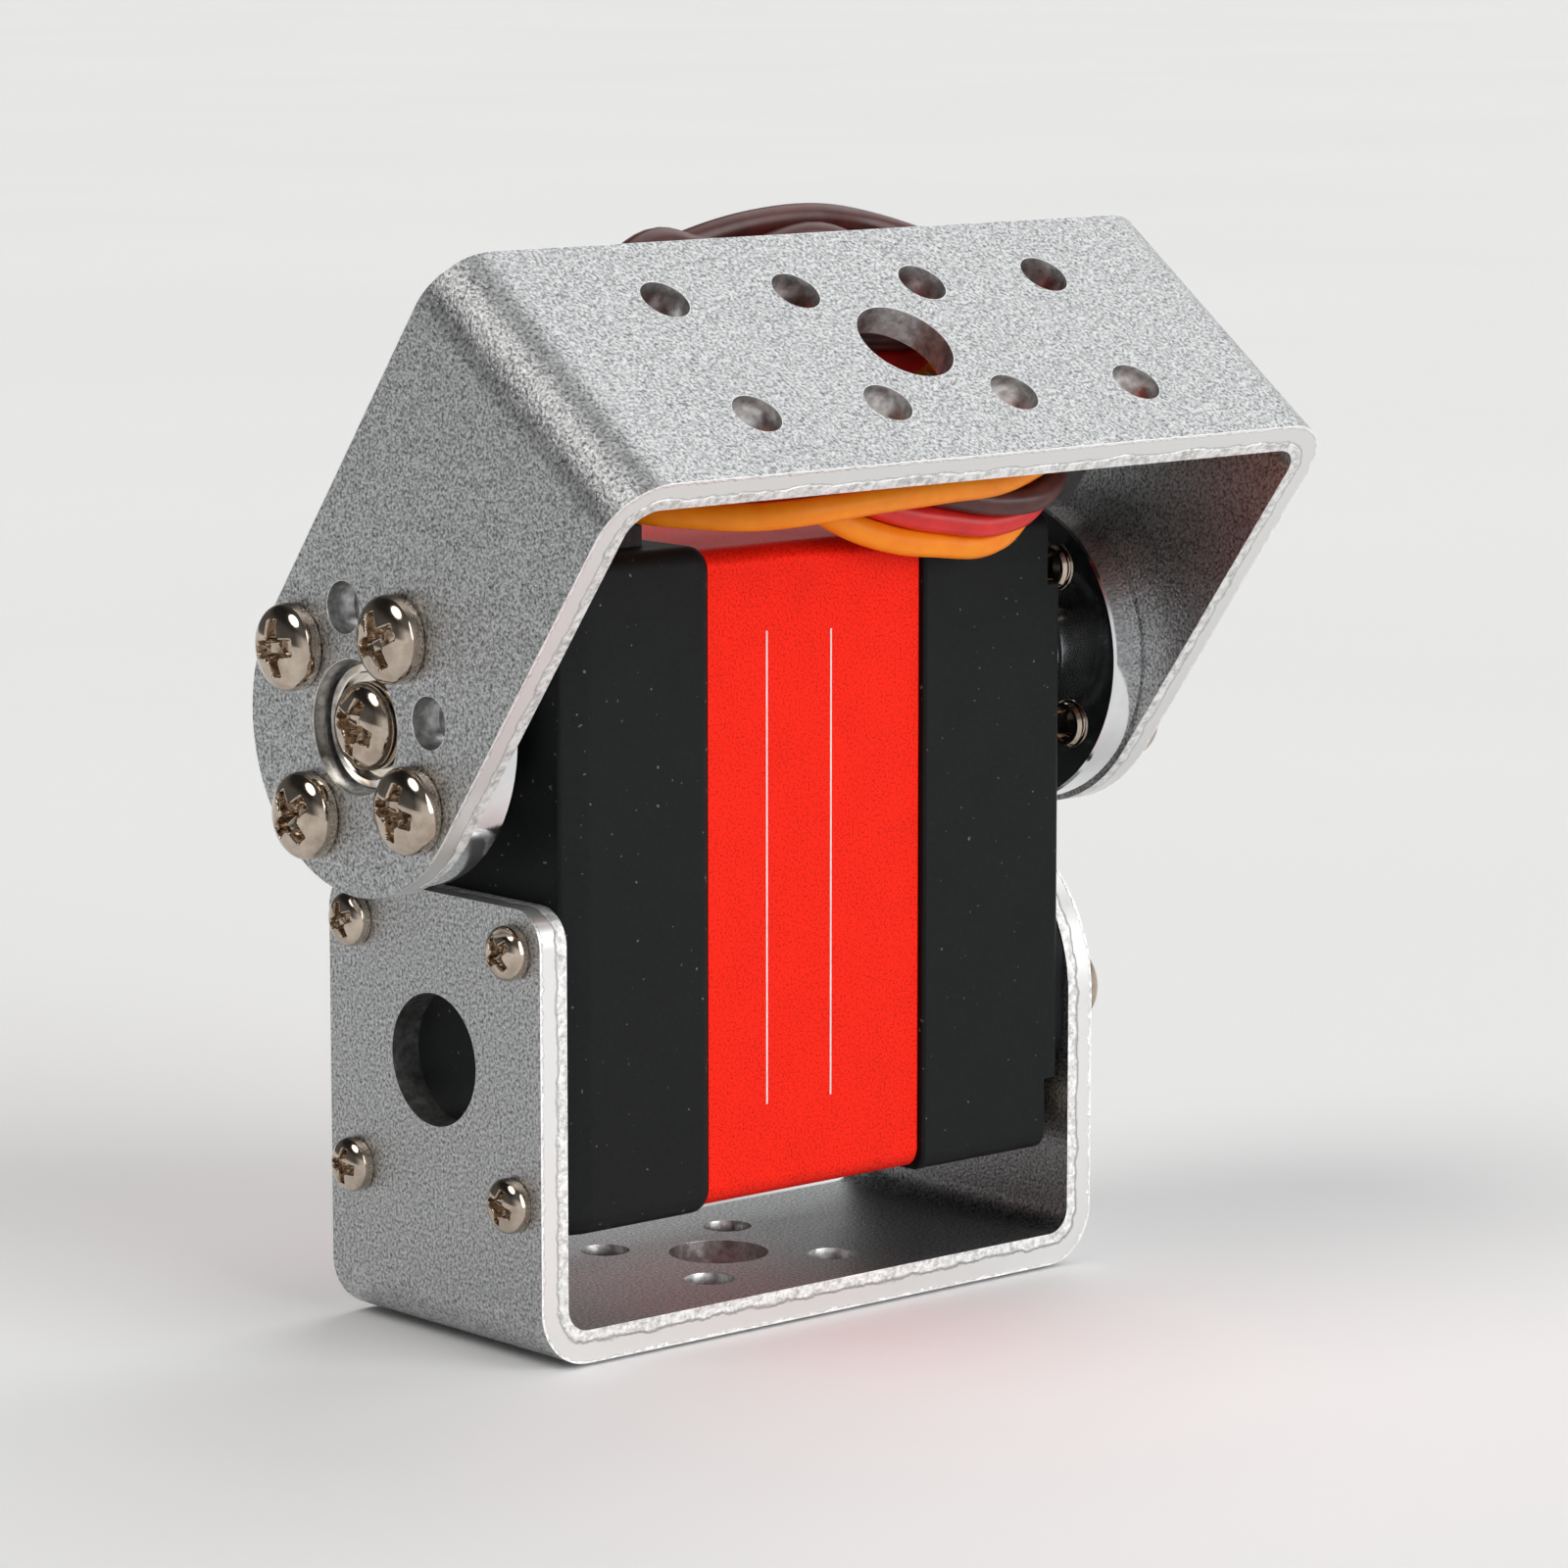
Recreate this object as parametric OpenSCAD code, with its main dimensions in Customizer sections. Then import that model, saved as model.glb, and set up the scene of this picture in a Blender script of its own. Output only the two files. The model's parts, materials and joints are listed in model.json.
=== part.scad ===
// Tilt mount: one dual-shaft digital servo in a short U bracket, with a long U bracket
// on its two output discs. X runs along the output shaft, Y to the back, Z up.
// The origin is the centre of the base plate's bottom face.

/* [Base bracket] */
// Outside width across the two ears
base_w = 44.4; // [44.2:0.1:46]
// Width of the bent strip, front to back
base_depth = 20.1; // [19:0.1:22]
// Height of the ears above the bottom face
base_ear_h = 27.2; // [26:0.1:30]
// Height of the ears' large hole above the bottom face
base_hole_z = 17.1; // [16.5:0.1:18]
// Radius of the outside of the base bracket's bends
base_bend_r = 3.5; // [3:0.1:4]
// Spacing of the square of small screws in the left ear
base_screw_pitch = 15; // [14:0.5:16]

/* [Tilt bracket] */
// Outside width across the two ears
tilt_w = 56.5; // [56:0.1:58]
// Sideways offset of the bracket from the servo's middle
tilt_offset = 0.5; // [0:0.1:0.8]
// Width of the bent strip, which is also the ears' end diameter
tilt_depth = 20; // [19:0.1:21]
// Distance from the tilt axis to the plate's outer face
tilt_reach = 27.3; // [27:0.1:32]
// Radius of the outside of the tilt bracket's bends
tilt_bend_r = 3.8; // [3:0.1:5]
// Forward lean of the bracket as it stands
tilt_rest = 36.7; // [0:0.1:50]

/* [Sheet metal] */
// Thickness of both brackets
sheet = 2; // [1.8:0.1:2.2]
// Diameter of the plates' fixing holes
fixing_d = 3.1; // [3:0.1:3.3]
// Spacing of the plates' fixing holes
fixing_pitch = 10; // [9.5:0.5:10.5]
// Diameter of the hole in the middle of each plate
plate_hole_d = 6.2; // [5:0.1:7]
// Diameter of the large hole in each ear
ear_hole_d = 8; // [7.8:0.1:8.4]
// Diameter of the circle of screws around each shaft
disc_pcd = 14; // [13.5:0.5:14.5]

/* [Servo] */
// Height of the servo's case
servo_h = 40; // [40:0.5:41]
// Depth of the servo's case
servo_d = 20; // [20:0.1:20.4]
// Gap between the base plate and the servo
servo_gap = 5.5; // [5:0.1:6]
// Distance of the output shaft from the top of the case
shaft_drop = 10; // [9.8:0.1:10.2]
// Left end of the coloured middle case
middle_x0 = -9.1; // [-10:0.1:-8]
// Right end of the coloured middle case
middle_x1 = 7.9; // [7.8:0.1:8]
// Right face of the gear case
gear_case_x = 19.4; // [19.3:0.1:19.5]
// Thickness of the case walls
wall = 1.5; // [1.4:0.1:1.6]

/* [Discs] */
// Radius of the output and idle discs
disc_r = 9.75; // [9.5:0.05:10]
// Thickness of the discs
disc_t = 2.4; // [2.2:0.1:2.6]

/* [Hidden] */
$fn = 64;

eps = 0.02;
servo_z0 = sheet + servo_gap;
servo_z1 = servo_z0 + servo_h;
pivot_z = servo_z1 - shaft_drop;
bottom_case_x = -base_w / 2 + sheet;
right_ear_x = base_w / 2 - sheet;
tilt_x0 = tilt_offset - tilt_w / 2;
tilt_x1 = tilt_offset + tilt_w / 2;
idle_face_x = tilt_x0 + sheet;
horn_face_x = tilt_x1 - sheet;
plate_inner = tilt_reach - sheet;

// Screws: shank radius, head radius, head height
M3 = [1.45, 2.6, 1.9];
M2 = [0.95, 1.65, 1.3];
case_r = 1.2;
middle_inset = 0.3;
end_wall = 1.8;
pocket_z = 4.5;
pocket_y = 5.6;
pocket_depth = 1.2;
case_screw_y = 7.6;
case_screw_inset = 2.6;
post_r = 2;

// Lead exit: the grommet's size, its place on top of the case, and how deep it sits
grommet = [3.2, 6.4, 3.1];
grommet_half = [grommet[0] / 2, grommet[1] / 2, 0];
grommet_at = [-13.5, -3.9];
grommet_sunk = 1.5;

// Circuit board against the left wall
board_x = -17.9;
board_t = 1;
board_w = 16.4;
board_h = 24.5;

// Motor, and the position sensor on the output axis
motor_x0 = -16.2;
motor_x1 = 4.9;
motor_r = 7.9;
motor_shaft_r = 1;
motor_bore = 1.06;
can_wall = 0.7;
cap_t = 1.5;
magnet_t = 1.1;
armature_r = 5.7;
sensor_x0 = 0.6;
sensor_r = 1.2;

// Gear train: module, teeth of the small and the large gear of each stage
motor_z = pivot_z - 19.5;
stage_1 = [0.4, 10, 34];
stage_2 = [0.5, 10, 24];
stage_3 = [0.5, 10, 24];
stage_4 = [0.6, 10, 26];
wheel_addendum = 0.62;
pinion_addendum = 0.95;
flank_play = 0.06;
pressure = 20;
level_1 = 8.3;
level_2 = 9.95;
level_3 = 11.85;
level_4 = 14.0;
level_end = 16.9;
gap = 0.25;
gear_bore = 1.05;
gear_pin_r = 1.0;

// Output shaft, its bearing and the horn on its spline
journal_r = 2;
shaft_r = 2.98;
bearing_r = 5;
bearing_w = 3;
bearing_x0 = level_end + 0.35;
spline_teeth = 25;
spline_r = 2.94;
spline_x0 = gear_case_x + 1.3;
spline_x1 = horn_face_x - 2.2;
horn_hub_r = 4.7;
horn_recess = 1;

// Idle side: the bush that the idle disc turns on
idle_hub_r = 6.8;
bush_r = 2.9;
bush_flange = 3.7;
bush_cup = 0.5;
bush_x0 = tilt_x0 + 1;

function centre_distance(s) = s[0] * (s[1] + s[2]) / 2;
d1 = centre_distance(stage_1);
d2 = centre_distance(stage_2);
d4 = centre_distance(stage_4);
span = pivot_z - motor_z;
rise = (d1 * d1 + span * span - d4 * d4) / (2 * span);
motor_axis = [0, motor_z];
output_axis = [0, pivot_z];
long_pin_axis = [sqrt(d1 * d1 - rise * rise), motor_z + rise];
short_pin_y = -1.5;
short_pin_drop = sqrt(d2 * d2 - pow(long_pin_axis[0] - short_pin_y, 2));
short_pin_axis = [short_pin_y, long_pin_axis[1] - short_pin_drop];

// Angle of a tooth of each gear, worked out so that all of them are in mesh
function heading(a, b) = atan2(b[1] - a[1], b[0] - a[0]);
function mate(phase, teeth, a, b, other) =
  heading(a, b) + 180 - (phase - heading(a, b)) * teeth / other + 180 / other;
phase_out = 0;
phase_3 = mate(phase_out, stage_4[2], output_axis, long_pin_axis, stage_4[1]);
phase_2 = mate(phase_3, stage_3[2], long_pin_axis, short_pin_axis, stage_3[1]);
phase_1 = mate(phase_2, stage_2[2], short_pin_axis, long_pin_axis, stage_2[1]);
phase_0 = mate(phase_1, stage_1[2], long_pin_axis, motor_axis, stage_1[1]);

// The lead is a flat ribbon of three wires. Each point of its middle line is [x, v, w, turn]
// in the tilt bracket's own frame, with v across the strip and w from the axis to the
// plate; turn is the ribbon's width direction, in degrees from +w towards +v.
wire_d = 1.7;
ribbon_w = 3 * wire_d;
LEAD = [
  [-13.5, 3.2, 10.8, 127], [-13.5, 4.2, 12.4, 125], [-13.4, 3.7, 14.7, 98], [-12.2, 0.6, 16.9, 58],
  [-9.4, -2.6, 19.1, 40], [-5.8, -4.0, 20.5, 37], [-1.0, -4.2, 21.1, 37], [4.2, -4.1, 21.3, 37],
  [9.6, -3.5, 21.2, 36],
  [15.6, -1.5, 22.6, 35], [19.4, 2.4, 22.2, 32], [20.4, 7.8, 21.4, 30], [18.0, 12.8, 19.9, 32],
  [13.4, 15.9, 19.9, 36], [8.8, 16.6, 20.4, 37], [3.8, 16.6, 20.1, 37], [-0.8, 16.2, 19.2, 36],
  [-6.2, 15.6, 17.2, 34], [-12.2, 13.4, 16.4, 32], [-17.0, 9.0, 16.6, 30], [-19.0, 3.6, 17.6, 30],
  [-18.2, -1.4, 20.0, 33], [-15.6, -1.4, 22.0, 36], [-12.0, 1.4, 22.4, 37], [-8.6, 3.2, 21.9, 37],
  [-5.4, 2.6, 20.4, 37], [-3.0, 0.4, 18.3, 44], [0.2, -1.7, 17.0, 42], [3.6, -3.1, 16.4, 26],
  [7.0, -4.0, 16.2, 8], [10.1, -4.6, 16.2, 0], [13.0, -4.3, 16.8, -16], [15.2, -2.1, 17.4, -18],
  [15.6, 2.8, 19.5, 0], [14.2, 7.8, 19.8, 20], [11.0, 12.4, 19.9, 34], [7.0, 14.2, 21.0, 37],
  [2.0, 13.9, 20.2, 37], [-2.6, 14.0, 20.6, 36], [-6.4, 14.0, 21.4, 36], [-10.4, 12.0, 20.4, 34],
  [-12.4, 8.8, 20.4, 32], [-10.2, 6.0, 20.8, 33], [-5.6, 5.8, 21.2, 30], [-0.6, 5.6, 21.2, 24],
  [4.6, 5.2, 20.9, 16], [9.0, 5.6, 20.8, 12], [10.8, 8.3, 20.8, 14], [8.6, 10.9, 21.2, 14],
  [4.2, 11.3, 22.0, 14], [-0.2, 11.1, 22.0, 14], [-3.6, 10.5, 20.8, 16], [-5.6, 9.6, 18.2, 34],
  [-4.6, 9.6, 16.1, 58], [-1.8, 10.2, 15.1, 78], [1.6, 11.1, 14.9, 90], [5.2, 11.2, 14.9, 90],
  [8.0, 10.2, 14.9, 90], [10.4, 8.9, 14.9, 90]
];
run_points = 8;
rings_per_span = 1.4;
connector = [14, 7.6, 2.6];
connector_at = [16.57, 5.59, 14.9];
connector_turn = -28.6;

function unit(p) = p / norm(p);
function xyz(p) = [p[0], p[1], p[2]];
function at(k) = LEAD[max(0, min(len(LEAD) - 1, k))];
function spline(a, b, c, d, t) =
  0.5 * (2 * b + (c - a) * t + (2 * a - 5 * b + 4 * c - d) * t * t
         + (3 * b - a - 3 * c + d) * t * t * t);
function lead_at(s) =
  let (k = min(floor(s), len(LEAD) - 2))
  spline(at(k - 1), at(k), at(k + 1), at(k + 2), s - k);
function lead_way(s) = unit(xyz(lead_at(s + 0.05)) - xyz(lead_at(s - 0.05)));
function lead_ring(s) =
  let (
    p = lead_at(s),
    way = lead_way(s),
    across = [0, sin(p[3]), cos(p[3])],
    thick = unit(cross(way, across)),
    wide = cross(thick, way)
  )
  [for (a = [22.5 : 45 : 359])
    xyz(p) + wide * cos(a) * ribbon_w / 2 + thick * sin(a) * wire_d / 2];

// ---------- shared shapes ----------

module x_rod(r, x0, x1, y = 0, z = 0) {
  translate([x0, y, z]) rotate([0, 90, 0]) cylinder(r = r, h = x1 - x0);
}

module z_rod(r, z0, z1, x = 0, y = 0) {
  translate([x, y, z0]) cylinder(r = r, h = z1 - z0);
}

module rounded(w, h, r) {
  translate([r, 0]) square([w - 2 * r, h]);
  translate([0, r]) square([w, h - 2 * r]);
  for (x = [r, w - r], y = [r, h - r]) translate([x, y]) circle(r);
}

// A block along X whose section is a rounded rectangle, set in from the case's outline
module case_block(x0, x1, inset, r) {
  translate([x0, -servo_d / 2 + inset, servo_z0 + inset])
    rotate([90, 0, 90])
      linear_extrude(x1 - x0)
        rounded(servo_d - 2 * inset, servo_h - 2 * inset, r);
}

module on_circle(pcd, angles) {
  for (a = angles) rotate([a, 0, 0]) translate([0, 0, pcd / 2]) children();
}

module case_screw_places() {
  for (y = [-case_screw_y, case_screw_y])
    for (z = [servo_z0 + case_screw_inset, servo_z1 - case_screw_inset])
      translate([0, y, z]) children();
}

module base_screw_places() {
  for (y = [-1, 1], z = [-1, 1])
    translate([0, y * base_screw_pitch / 2, base_hole_z + z * base_screw_pitch / 2]) children();
}

module tilted() {
  translate([0, 0, pivot_z]) rotate([tilt_rest, 0, 0]) children();
}

// A strip bent to a U that opens upwards, its outer bottom face at Z = 0
module u_strip(w, h, depth, bend) {
  rotate([90, 0, 0]) linear_extrude(depth, center = true) difference() {
    union() {
      translate([-w / 2, bend]) square([w, h - bend]);
      translate([bend - w / 2, 0]) square([w - 2 * bend, bend]);
      for (s = [-1, 1]) translate([s * (w / 2 - bend), bend]) circle(bend);
    }
    translate([sheet - w / 2, bend]) square([w - 2 * sheet, h]);
    translate([bend - w / 2, sheet]) square([w - 2 * bend, h]);
    for (s = [-1, 1]) translate([s * (w / 2 - bend), bend]) circle(bend - sheet);
  }
}

// What is cut off an ear to round its end, on the side x0 to x1, above the height z
module ear_end_cut(x0, x1, r, z, top) {
  difference() {
    translate([x0, -r - 2, z]) cube([x1 - x0, 2 * r + 4, top - z + 2]);
    x_rod(r, x0 - 1, x1 + 1, 0, z);
  }
}

// A pan head screw along +X, with its seat at X = 0, the shank running to +X
module pan_screw(size, length) {
  recess_r = size[1] * 0.5;
  difference() {
    union() {
      x_rod(size[0], -0.2, length);
      intersection() {
        x_rod(size[1], -size[2], 0);
        translate([size[1] * 1.05 - size[2], 0, 0]) sphere(size[1] * 1.3);
      }
    }
    for (a = [0, 90])
      rotate([a, 0, 0])
        translate([-size[2] - 1, -recess_r, -size[0] * 0.18])
          cube([1 + size[2] * 0.6, 2 * recess_r, size[0] * 0.36]);
  }
}

// ---------- gears ----------

function involute(a) = tan(a) - a * PI / 180;
function half_angle(r, pitch_r, base_r, half_at_pitch) =
  half_at_pitch + (involute(pressure) - involute(acos(min(1, base_r / max(r, base_r))))) * 180 / PI;

module gear_shape(m, teeth, phase, addendum) {
  pitch_r = m * teeth / 2;
  base_r = pitch_r * cos(pressure);
  root_r = pitch_r - 1.15 * m;
  tip_r = pitch_r + addendum * m;
  half_pitch = 90 / teeth - flank_play / pitch_r * 180 / PI;
  mid_r = (pitch_r + tip_r) / 2;
  radii = [root_r, max(root_r + 0.05, base_r), mid_r, tip_r];
  rotate(phase) polygon([
    for (k = [0 : teeth - 1])
      for (side = [-1, 1])
        for (i = [0 : 3])
          let (
            r = radii[side < 0 ? i : 3 - i],
            a = k * 360 / teeth + side * half_angle(r, pitch_r, base_r, half_pitch)
          )
          r * [cos(a), sin(a)]
  ]);
}

// Drawn looking along X, so that the section's x is Y and its y is Z
module gear_at(axis, x0, x1, m, teeth, phase, addendum) {
  translate([x0, axis[0], axis[1]])
    rotate([90, 0, 90])
      linear_extrude(x1 - x0)
        gear_shape(m, teeth, phase, addendum);
}

module compound(axis, x0, x1, x2, large, small, phase) {
  difference() {
    union() {
      gear_at(axis, x0, x1, large[0], large[2], phase, wheel_addendum);
      gear_at(axis, x1 - eps, x2, small[0], small[1], phase, pinion_addendum);
    }
    x_rod(gear_bore, x0 - 1, x2 + 1, axis[0], axis[1]);
  }
}

// ---------- brackets and their screws ----------

module base_bracket() {
  color("silver") difference() {
    u_strip(base_w, base_ear_h, base_depth, base_bend_r);
    for (x = [-1, 1], y = [-1, 1])
      z_rod(fixing_d / 2, -1, sheet + 1, x * fixing_pitch / 2, y * fixing_pitch / 2);
    z_rod(plate_hole_d / 2, -1, sheet + 1);
    x_rod(ear_hole_d / 2, -base_w, base_w, 0, base_hole_z);
    base_screw_places() x_rod(M2[0] + 0.1, -base_w, 0);
    translate([0, 0, base_hole_z])
      on_circle(disc_pcd, [0 : 90 : 270]) x_rod(M3[0] + 0.1, 0, base_w);
    ear_end_cut(right_ear_x - 1, base_w, base_depth / 2, base_hole_z, base_ear_h);
    for (s = [-1, 1]) left_ear_corner(s);
  }
}

module left_ear_corner(s) {
  r = 2.2;
  difference() {
    translate([-base_w / 2 - 1, s * base_depth / 2 - (s > 0 ? r : 1), base_ear_h - r])
      cube([sheet + 2, r + 1, r + 1]);
    x_rod(r, -base_w, 0, s * (base_depth / 2 - r), base_ear_h - r);
  }
}

module base_screws_left() {
  color("tan") translate([-base_w / 2, 0, 0]) base_screw_places() pan_screw(M2, 3.9);
}

module base_screws_right() {
  color("tan")
    translate([base_w / 2, 0, base_hole_z])
      on_circle(disc_pcd, [0 : 90 : 270]) mirror([1, 0, 0]) pan_screw(M3, 4);
}

module tilt_bracket() {
  color("silver") tilted() difference() {
    translate([tilt_offset, 0, tilt_reach])
      mirror([0, 0, 1])
        u_strip(tilt_w, tilt_reach + tilt_depth / 2, tilt_depth, tilt_bend_r);
    for (x = [-1.5 : 1 : 1.5], y = [-1, 1])
      z_rod(fixing_d / 2, plate_inner - 1, tilt_reach + 1,
            tilt_offset + x * fixing_pitch, y * fixing_pitch / 2);
    z_rod(plate_hole_d / 2, plate_inner - 1, tilt_reach + 1, tilt_offset);
    x_rod(ear_hole_d / 2, -tilt_w, tilt_w);
    on_circle(disc_pcd, [0, 45, 90, 180, 270, 315]) x_rod(fixing_d / 2, -tilt_w, tilt_w);
    mirror([0, 0, 1]) ear_end_cut(-tilt_w, tilt_w, tilt_depth / 2, 0, tilt_depth / 2);
  }
}

// ---------- servo case ----------

// The body of one case half: walls, and posts for the long screws in its corners
module case_shell(x0, x1, cavity_x0, cavity_x1, inset) {
  difference() {
    case_block(x0, x1, inset, case_r);
    difference() {
      case_block(cavity_x0, cavity_x1, wall, case_r);
      case_screw_places() x_rod(post_r, x0 - 1, x1 + 1);
    }
    case_screw_places() x_rod(M2[0] + 0.1, bottom_case_x + 4, gear_case_x + 1);
  }
}

module bottom_case() {
  chamfer_x = 1.8;
  chamfer_y = 0.6;
  x0 = bottom_case_x;
  y1 = servo_d / 2;
  color([0.1, 0.1, 0.11]) difference() {
    union() {
      intersection() {
        case_shell(x0, middle_x0, x0 + end_wall, middle_x0 + 1, 0);
        translate([0, 0, servo_z0 - 1]) linear_extrude(servo_h + 2) polygon([
          [x0, chamfer_y - y1], [x0 + chamfer_x, -y1], [middle_x0, -y1],
          [middle_x0, y1], [x0 + chamfer_x, y1], [x0, y1 - chamfer_y]
        ]);
      }
      x_rod(4, x0 - 0.6, x0 + 1, 0, pivot_z);
      x_rod(3, x0 + 1, x0 + 6, 0, pivot_z);
    }
    base_screw_places() x_rod(M2[0] + 0.05, x0 - 1, x0 + end_wall + 1);
    x_rod(M3[0] + 0.05, x0 - 1, x0 + 7, 0, pivot_z);
    translate([grommet_at[0], grommet_at[1], servo_z1 - grommet_sunk] - grommet_half)
      cube([grommet[0], grommet[1], grommet[2]]);
  }
}

module middle_case() {
  web_x0 = middle_x1 - 2;
  color([0.85, 0.08, 0.05]) difference() {
    case_shell(middle_x0, middle_x1, middle_x0 - 1, web_x0, middle_inset);
    x_rod(3.1, web_x0 - 1, middle_x1 + 1, 0, motor_z);
    x_rod(journal_r + 0.05, web_x0 - 1, middle_x1 + 1, 0, pivot_z);
    x_rod(gear_pin_r, web_x0 + 0.5, middle_x1 + 1, long_pin_axis[0], long_pin_axis[1]);
  }
}

module gear_case() {
  pad_x = right_ear_x;
  x1 = gear_case_x;
  inner_x1 = x1 - wall;
  color([0.1, 0.1, 0.11]) difference() {
    union() {
      case_shell(middle_x1, x1, middle_x1 - 1, inner_x1, 0);
      intersection() {
        x_rod(servo_d / 2, x1 - 1, pad_x, 0, base_hole_z);
        case_block(x1 - 2, x1 + 2, 0, case_r);
      }
      x_rod(6.2, x1 - 1, x1 + 0.9, 0, pivot_z);
      x_rod(2.2, level_4, x1 - 1, short_pin_axis[0], short_pin_axis[1]);
    }
    corner_pockets();
    x_rod(bearing_r, bearing_x0 - 0.05, x1 + 2, 0, pivot_z);
    x_rod(gear_pin_r, level_4 - 1, x1 - 0.6, short_pin_axis[0], short_pin_axis[1]);
    x_rod(gear_pin_r, inner_x1 - 1, x1 - 0.6, long_pin_axis[0], long_pin_axis[1]);
    translate([0, 0, base_hole_z])
      on_circle(disc_pcd, [0 : 90 : 270]) x_rod(M3[0] + 0.05, x1 - 1.3, pad_x + 1);
  }
}

module corner_pockets() {
  for (s = [-1, 1], z = [servo_z0 - 1, servo_z1 - pocket_z])
    translate([gear_case_x - pocket_depth, s * servo_d / 2 - (s > 0 ? pocket_y : 1), z])
      cube([4, pocket_y + 1, pocket_z + 1]);
}

module case_screws() {
  color("gray") case_screw_places()
    translate([gear_case_x - pocket_depth, 0, 0])
      mirror([1, 0, 0]) pan_screw([M2[0], 1.65, 1.1], 34);
}

module lead_grommet() {
  slot = [wire_d + 0.3, ribbon_w + 0.4];
  color([0.06, 0.06, 0.06])
    translate([grommet_at[0], grommet_at[1], servo_z1 - grommet_sunk])
      difference() {
        translate([-grommet[0] / 2, -grommet[1] / 2, 0]) cube(grommet);
        translate([-slot[0] / 2, -slot[1] / 2, -1]) cube([slot[0], slot[1], grommet[2] + 2]);
      }
}

// ---------- inside the servo ----------

module circuit_board() {
  chip_x = board_x + board_t - eps;
  chip_z = servo_z0 + 20;
  color("darkgreen") {
    difference() {
      translate([board_x, -board_w / 2, servo_z0 + 1.8]) cube([board_t, board_w, board_h]);
      case_screw_places() x_rod(2.2, board_x - 1, board_x + 3);
    }
    translate([chip_x, -8, chip_z]) cube([1.2, 4, 5]);
    translate([chip_x, 3, chip_z]) cube([1.2, 5, 5]);
  }
}

module motor_can() {
  color("lightgray") difference() {
    union() {
      x_rod(motor_r, motor_x0 + cap_t, motor_x1, 0, motor_z);
      x_rod(3, motor_x1 - eps, middle_x1 - 0.3, 0, motor_z);
    }
    x_rod(motor_r - can_wall, motor_x0, motor_x1 - can_wall, 0, motor_z);
    x_rod(motor_bore, motor_x0, middle_x1 + 1, 0, motor_z);
  }
}

module motor_magnets() {
  r1 = motor_r - can_wall - 0.05;
  color("dimgray") intersection() {
    difference() {
      x_rod(r1, motor_x0 + 3, motor_x1 - 1.5, 0, motor_z);
      x_rod(r1 - magnet_t, motor_x0 + 2, motor_x1, 0, motor_z);
    }
    for (s = [-1, 1])
      translate([motor_x0, s > 0 ? 1.5 : -10, motor_z - 10]) cube([24, 8.5, 20]);
  }
}

module motor_end_cap() {
  color("ivory") difference() {
    x_rod(motor_r, motor_x0, motor_x0 + cap_t, 0, motor_z);
    x_rod(motor_bore, motor_x0 + 0.5, motor_x0 + 2, 0, motor_z);
  }
}

module motor_rotor() {
  color("sienna") {
    x_rod(motor_shaft_r, motor_x0 + 0.6, level_2 - 0.3, 0, motor_z);
    difference() {
      x_rod(armature_r, motor_x0 + 4, motor_x1 - 2.5, 0, motor_z);
      for (a = [0 : 72 : 359])
        translate([0, 0, motor_z]) rotate([a, 0, 0])
          translate([motor_x0 + 3, -0.5, 3.4]) cube([20, 1, 4]);
    }
    x_rod(2, motor_x0 + 2, motor_x0 + 4 + eps, 0, motor_z);
  }
}

module motor_pinion() {
  color("gold") difference() {
    gear_at(motor_axis, level_1, level_2 - gap, stage_1[0], stage_1[1], phase_0, pinion_addendum);
    x_rod(motor_shaft_r, level_1 - 1, level_2, 0, motor_z);
  }
}

module gear_1() {
  color("goldenrod")
    compound(long_pin_axis, level_1, level_2 - gap, level_3 - gap, stage_1, stage_2, phase_1);
}

module gear_2() {
  color("silver")
    compound(short_pin_axis, level_2, level_3 - gap, level_4 - 0.4, stage_2, stage_3, phase_2);
}

module gear_3() {
  color("goldenrod")
    compound(long_pin_axis, level_3, level_4 - 0.4, level_end, stage_3, stage_4, phase_3);
}

module gear_pin_long() {
  color("white")
    x_rod(gear_pin_r, middle_x1 - 1.5, gear_case_x - 0.6, long_pin_axis[0], long_pin_axis[1]);
}

module gear_pin_short() {
  color("white")
    x_rod(gear_pin_r, level_2 + 0.1, gear_case_x - 0.6, short_pin_axis[0], short_pin_axis[1]);
}

module shaft_spline(x0, x1) {
  translate([x0, 0, pivot_z]) rotate([90, 0, 90]) linear_extrude(x1 - x0) polygon([
    for (k = [0 : 2 * spline_teeth - 1])
      let (a = k * 180 / spline_teeth)
      (k % 2 == 0 ? spline_r : spline_r - 0.24) * [cos(a), sin(a)]
  ]);
}

module output_gear() {
  color("silver") difference() {
    union() {
      gear_at(output_axis, level_4, level_end, stage_4[0], stage_4[2], phase_out, wheel_addendum);
      x_rod(journal_r, middle_x1 - 1.7, level_4 + eps, 0, pivot_z);
      x_rod(3.6, level_end - eps, bearing_x0 - 0.05, 0, pivot_z);
      x_rod(shaft_r, level_end, spline_x0, 0, pivot_z);
      shaft_spline(spline_x0 - eps, spline_x1);
    }
    x_rod(sensor_r + eps, middle_x1 - 3, middle_x1 + 1, 0, pivot_z);
    x_rod(M3[0] + 0.02, spline_x1 - 7, spline_x1 + 1, 0, pivot_z);
  }
}

module output_bearing() {
  x0 = bearing_x0;
  x1 = x0 + bearing_w;
  color("lightsteelblue") difference() {
    x_rod(bearing_r - eps, x0, x1, 0, pivot_z);
    x_rod(shaft_r + eps, x0 - 1, x1 + 1, 0, pivot_z);
    difference() {
      x_rod(4.4, x1 - 0.3, x1 + 1, 0, pivot_z);
      x_rod(3.6, x0, x1 + 2, 0, pivot_z);
    }
  }
}

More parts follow.
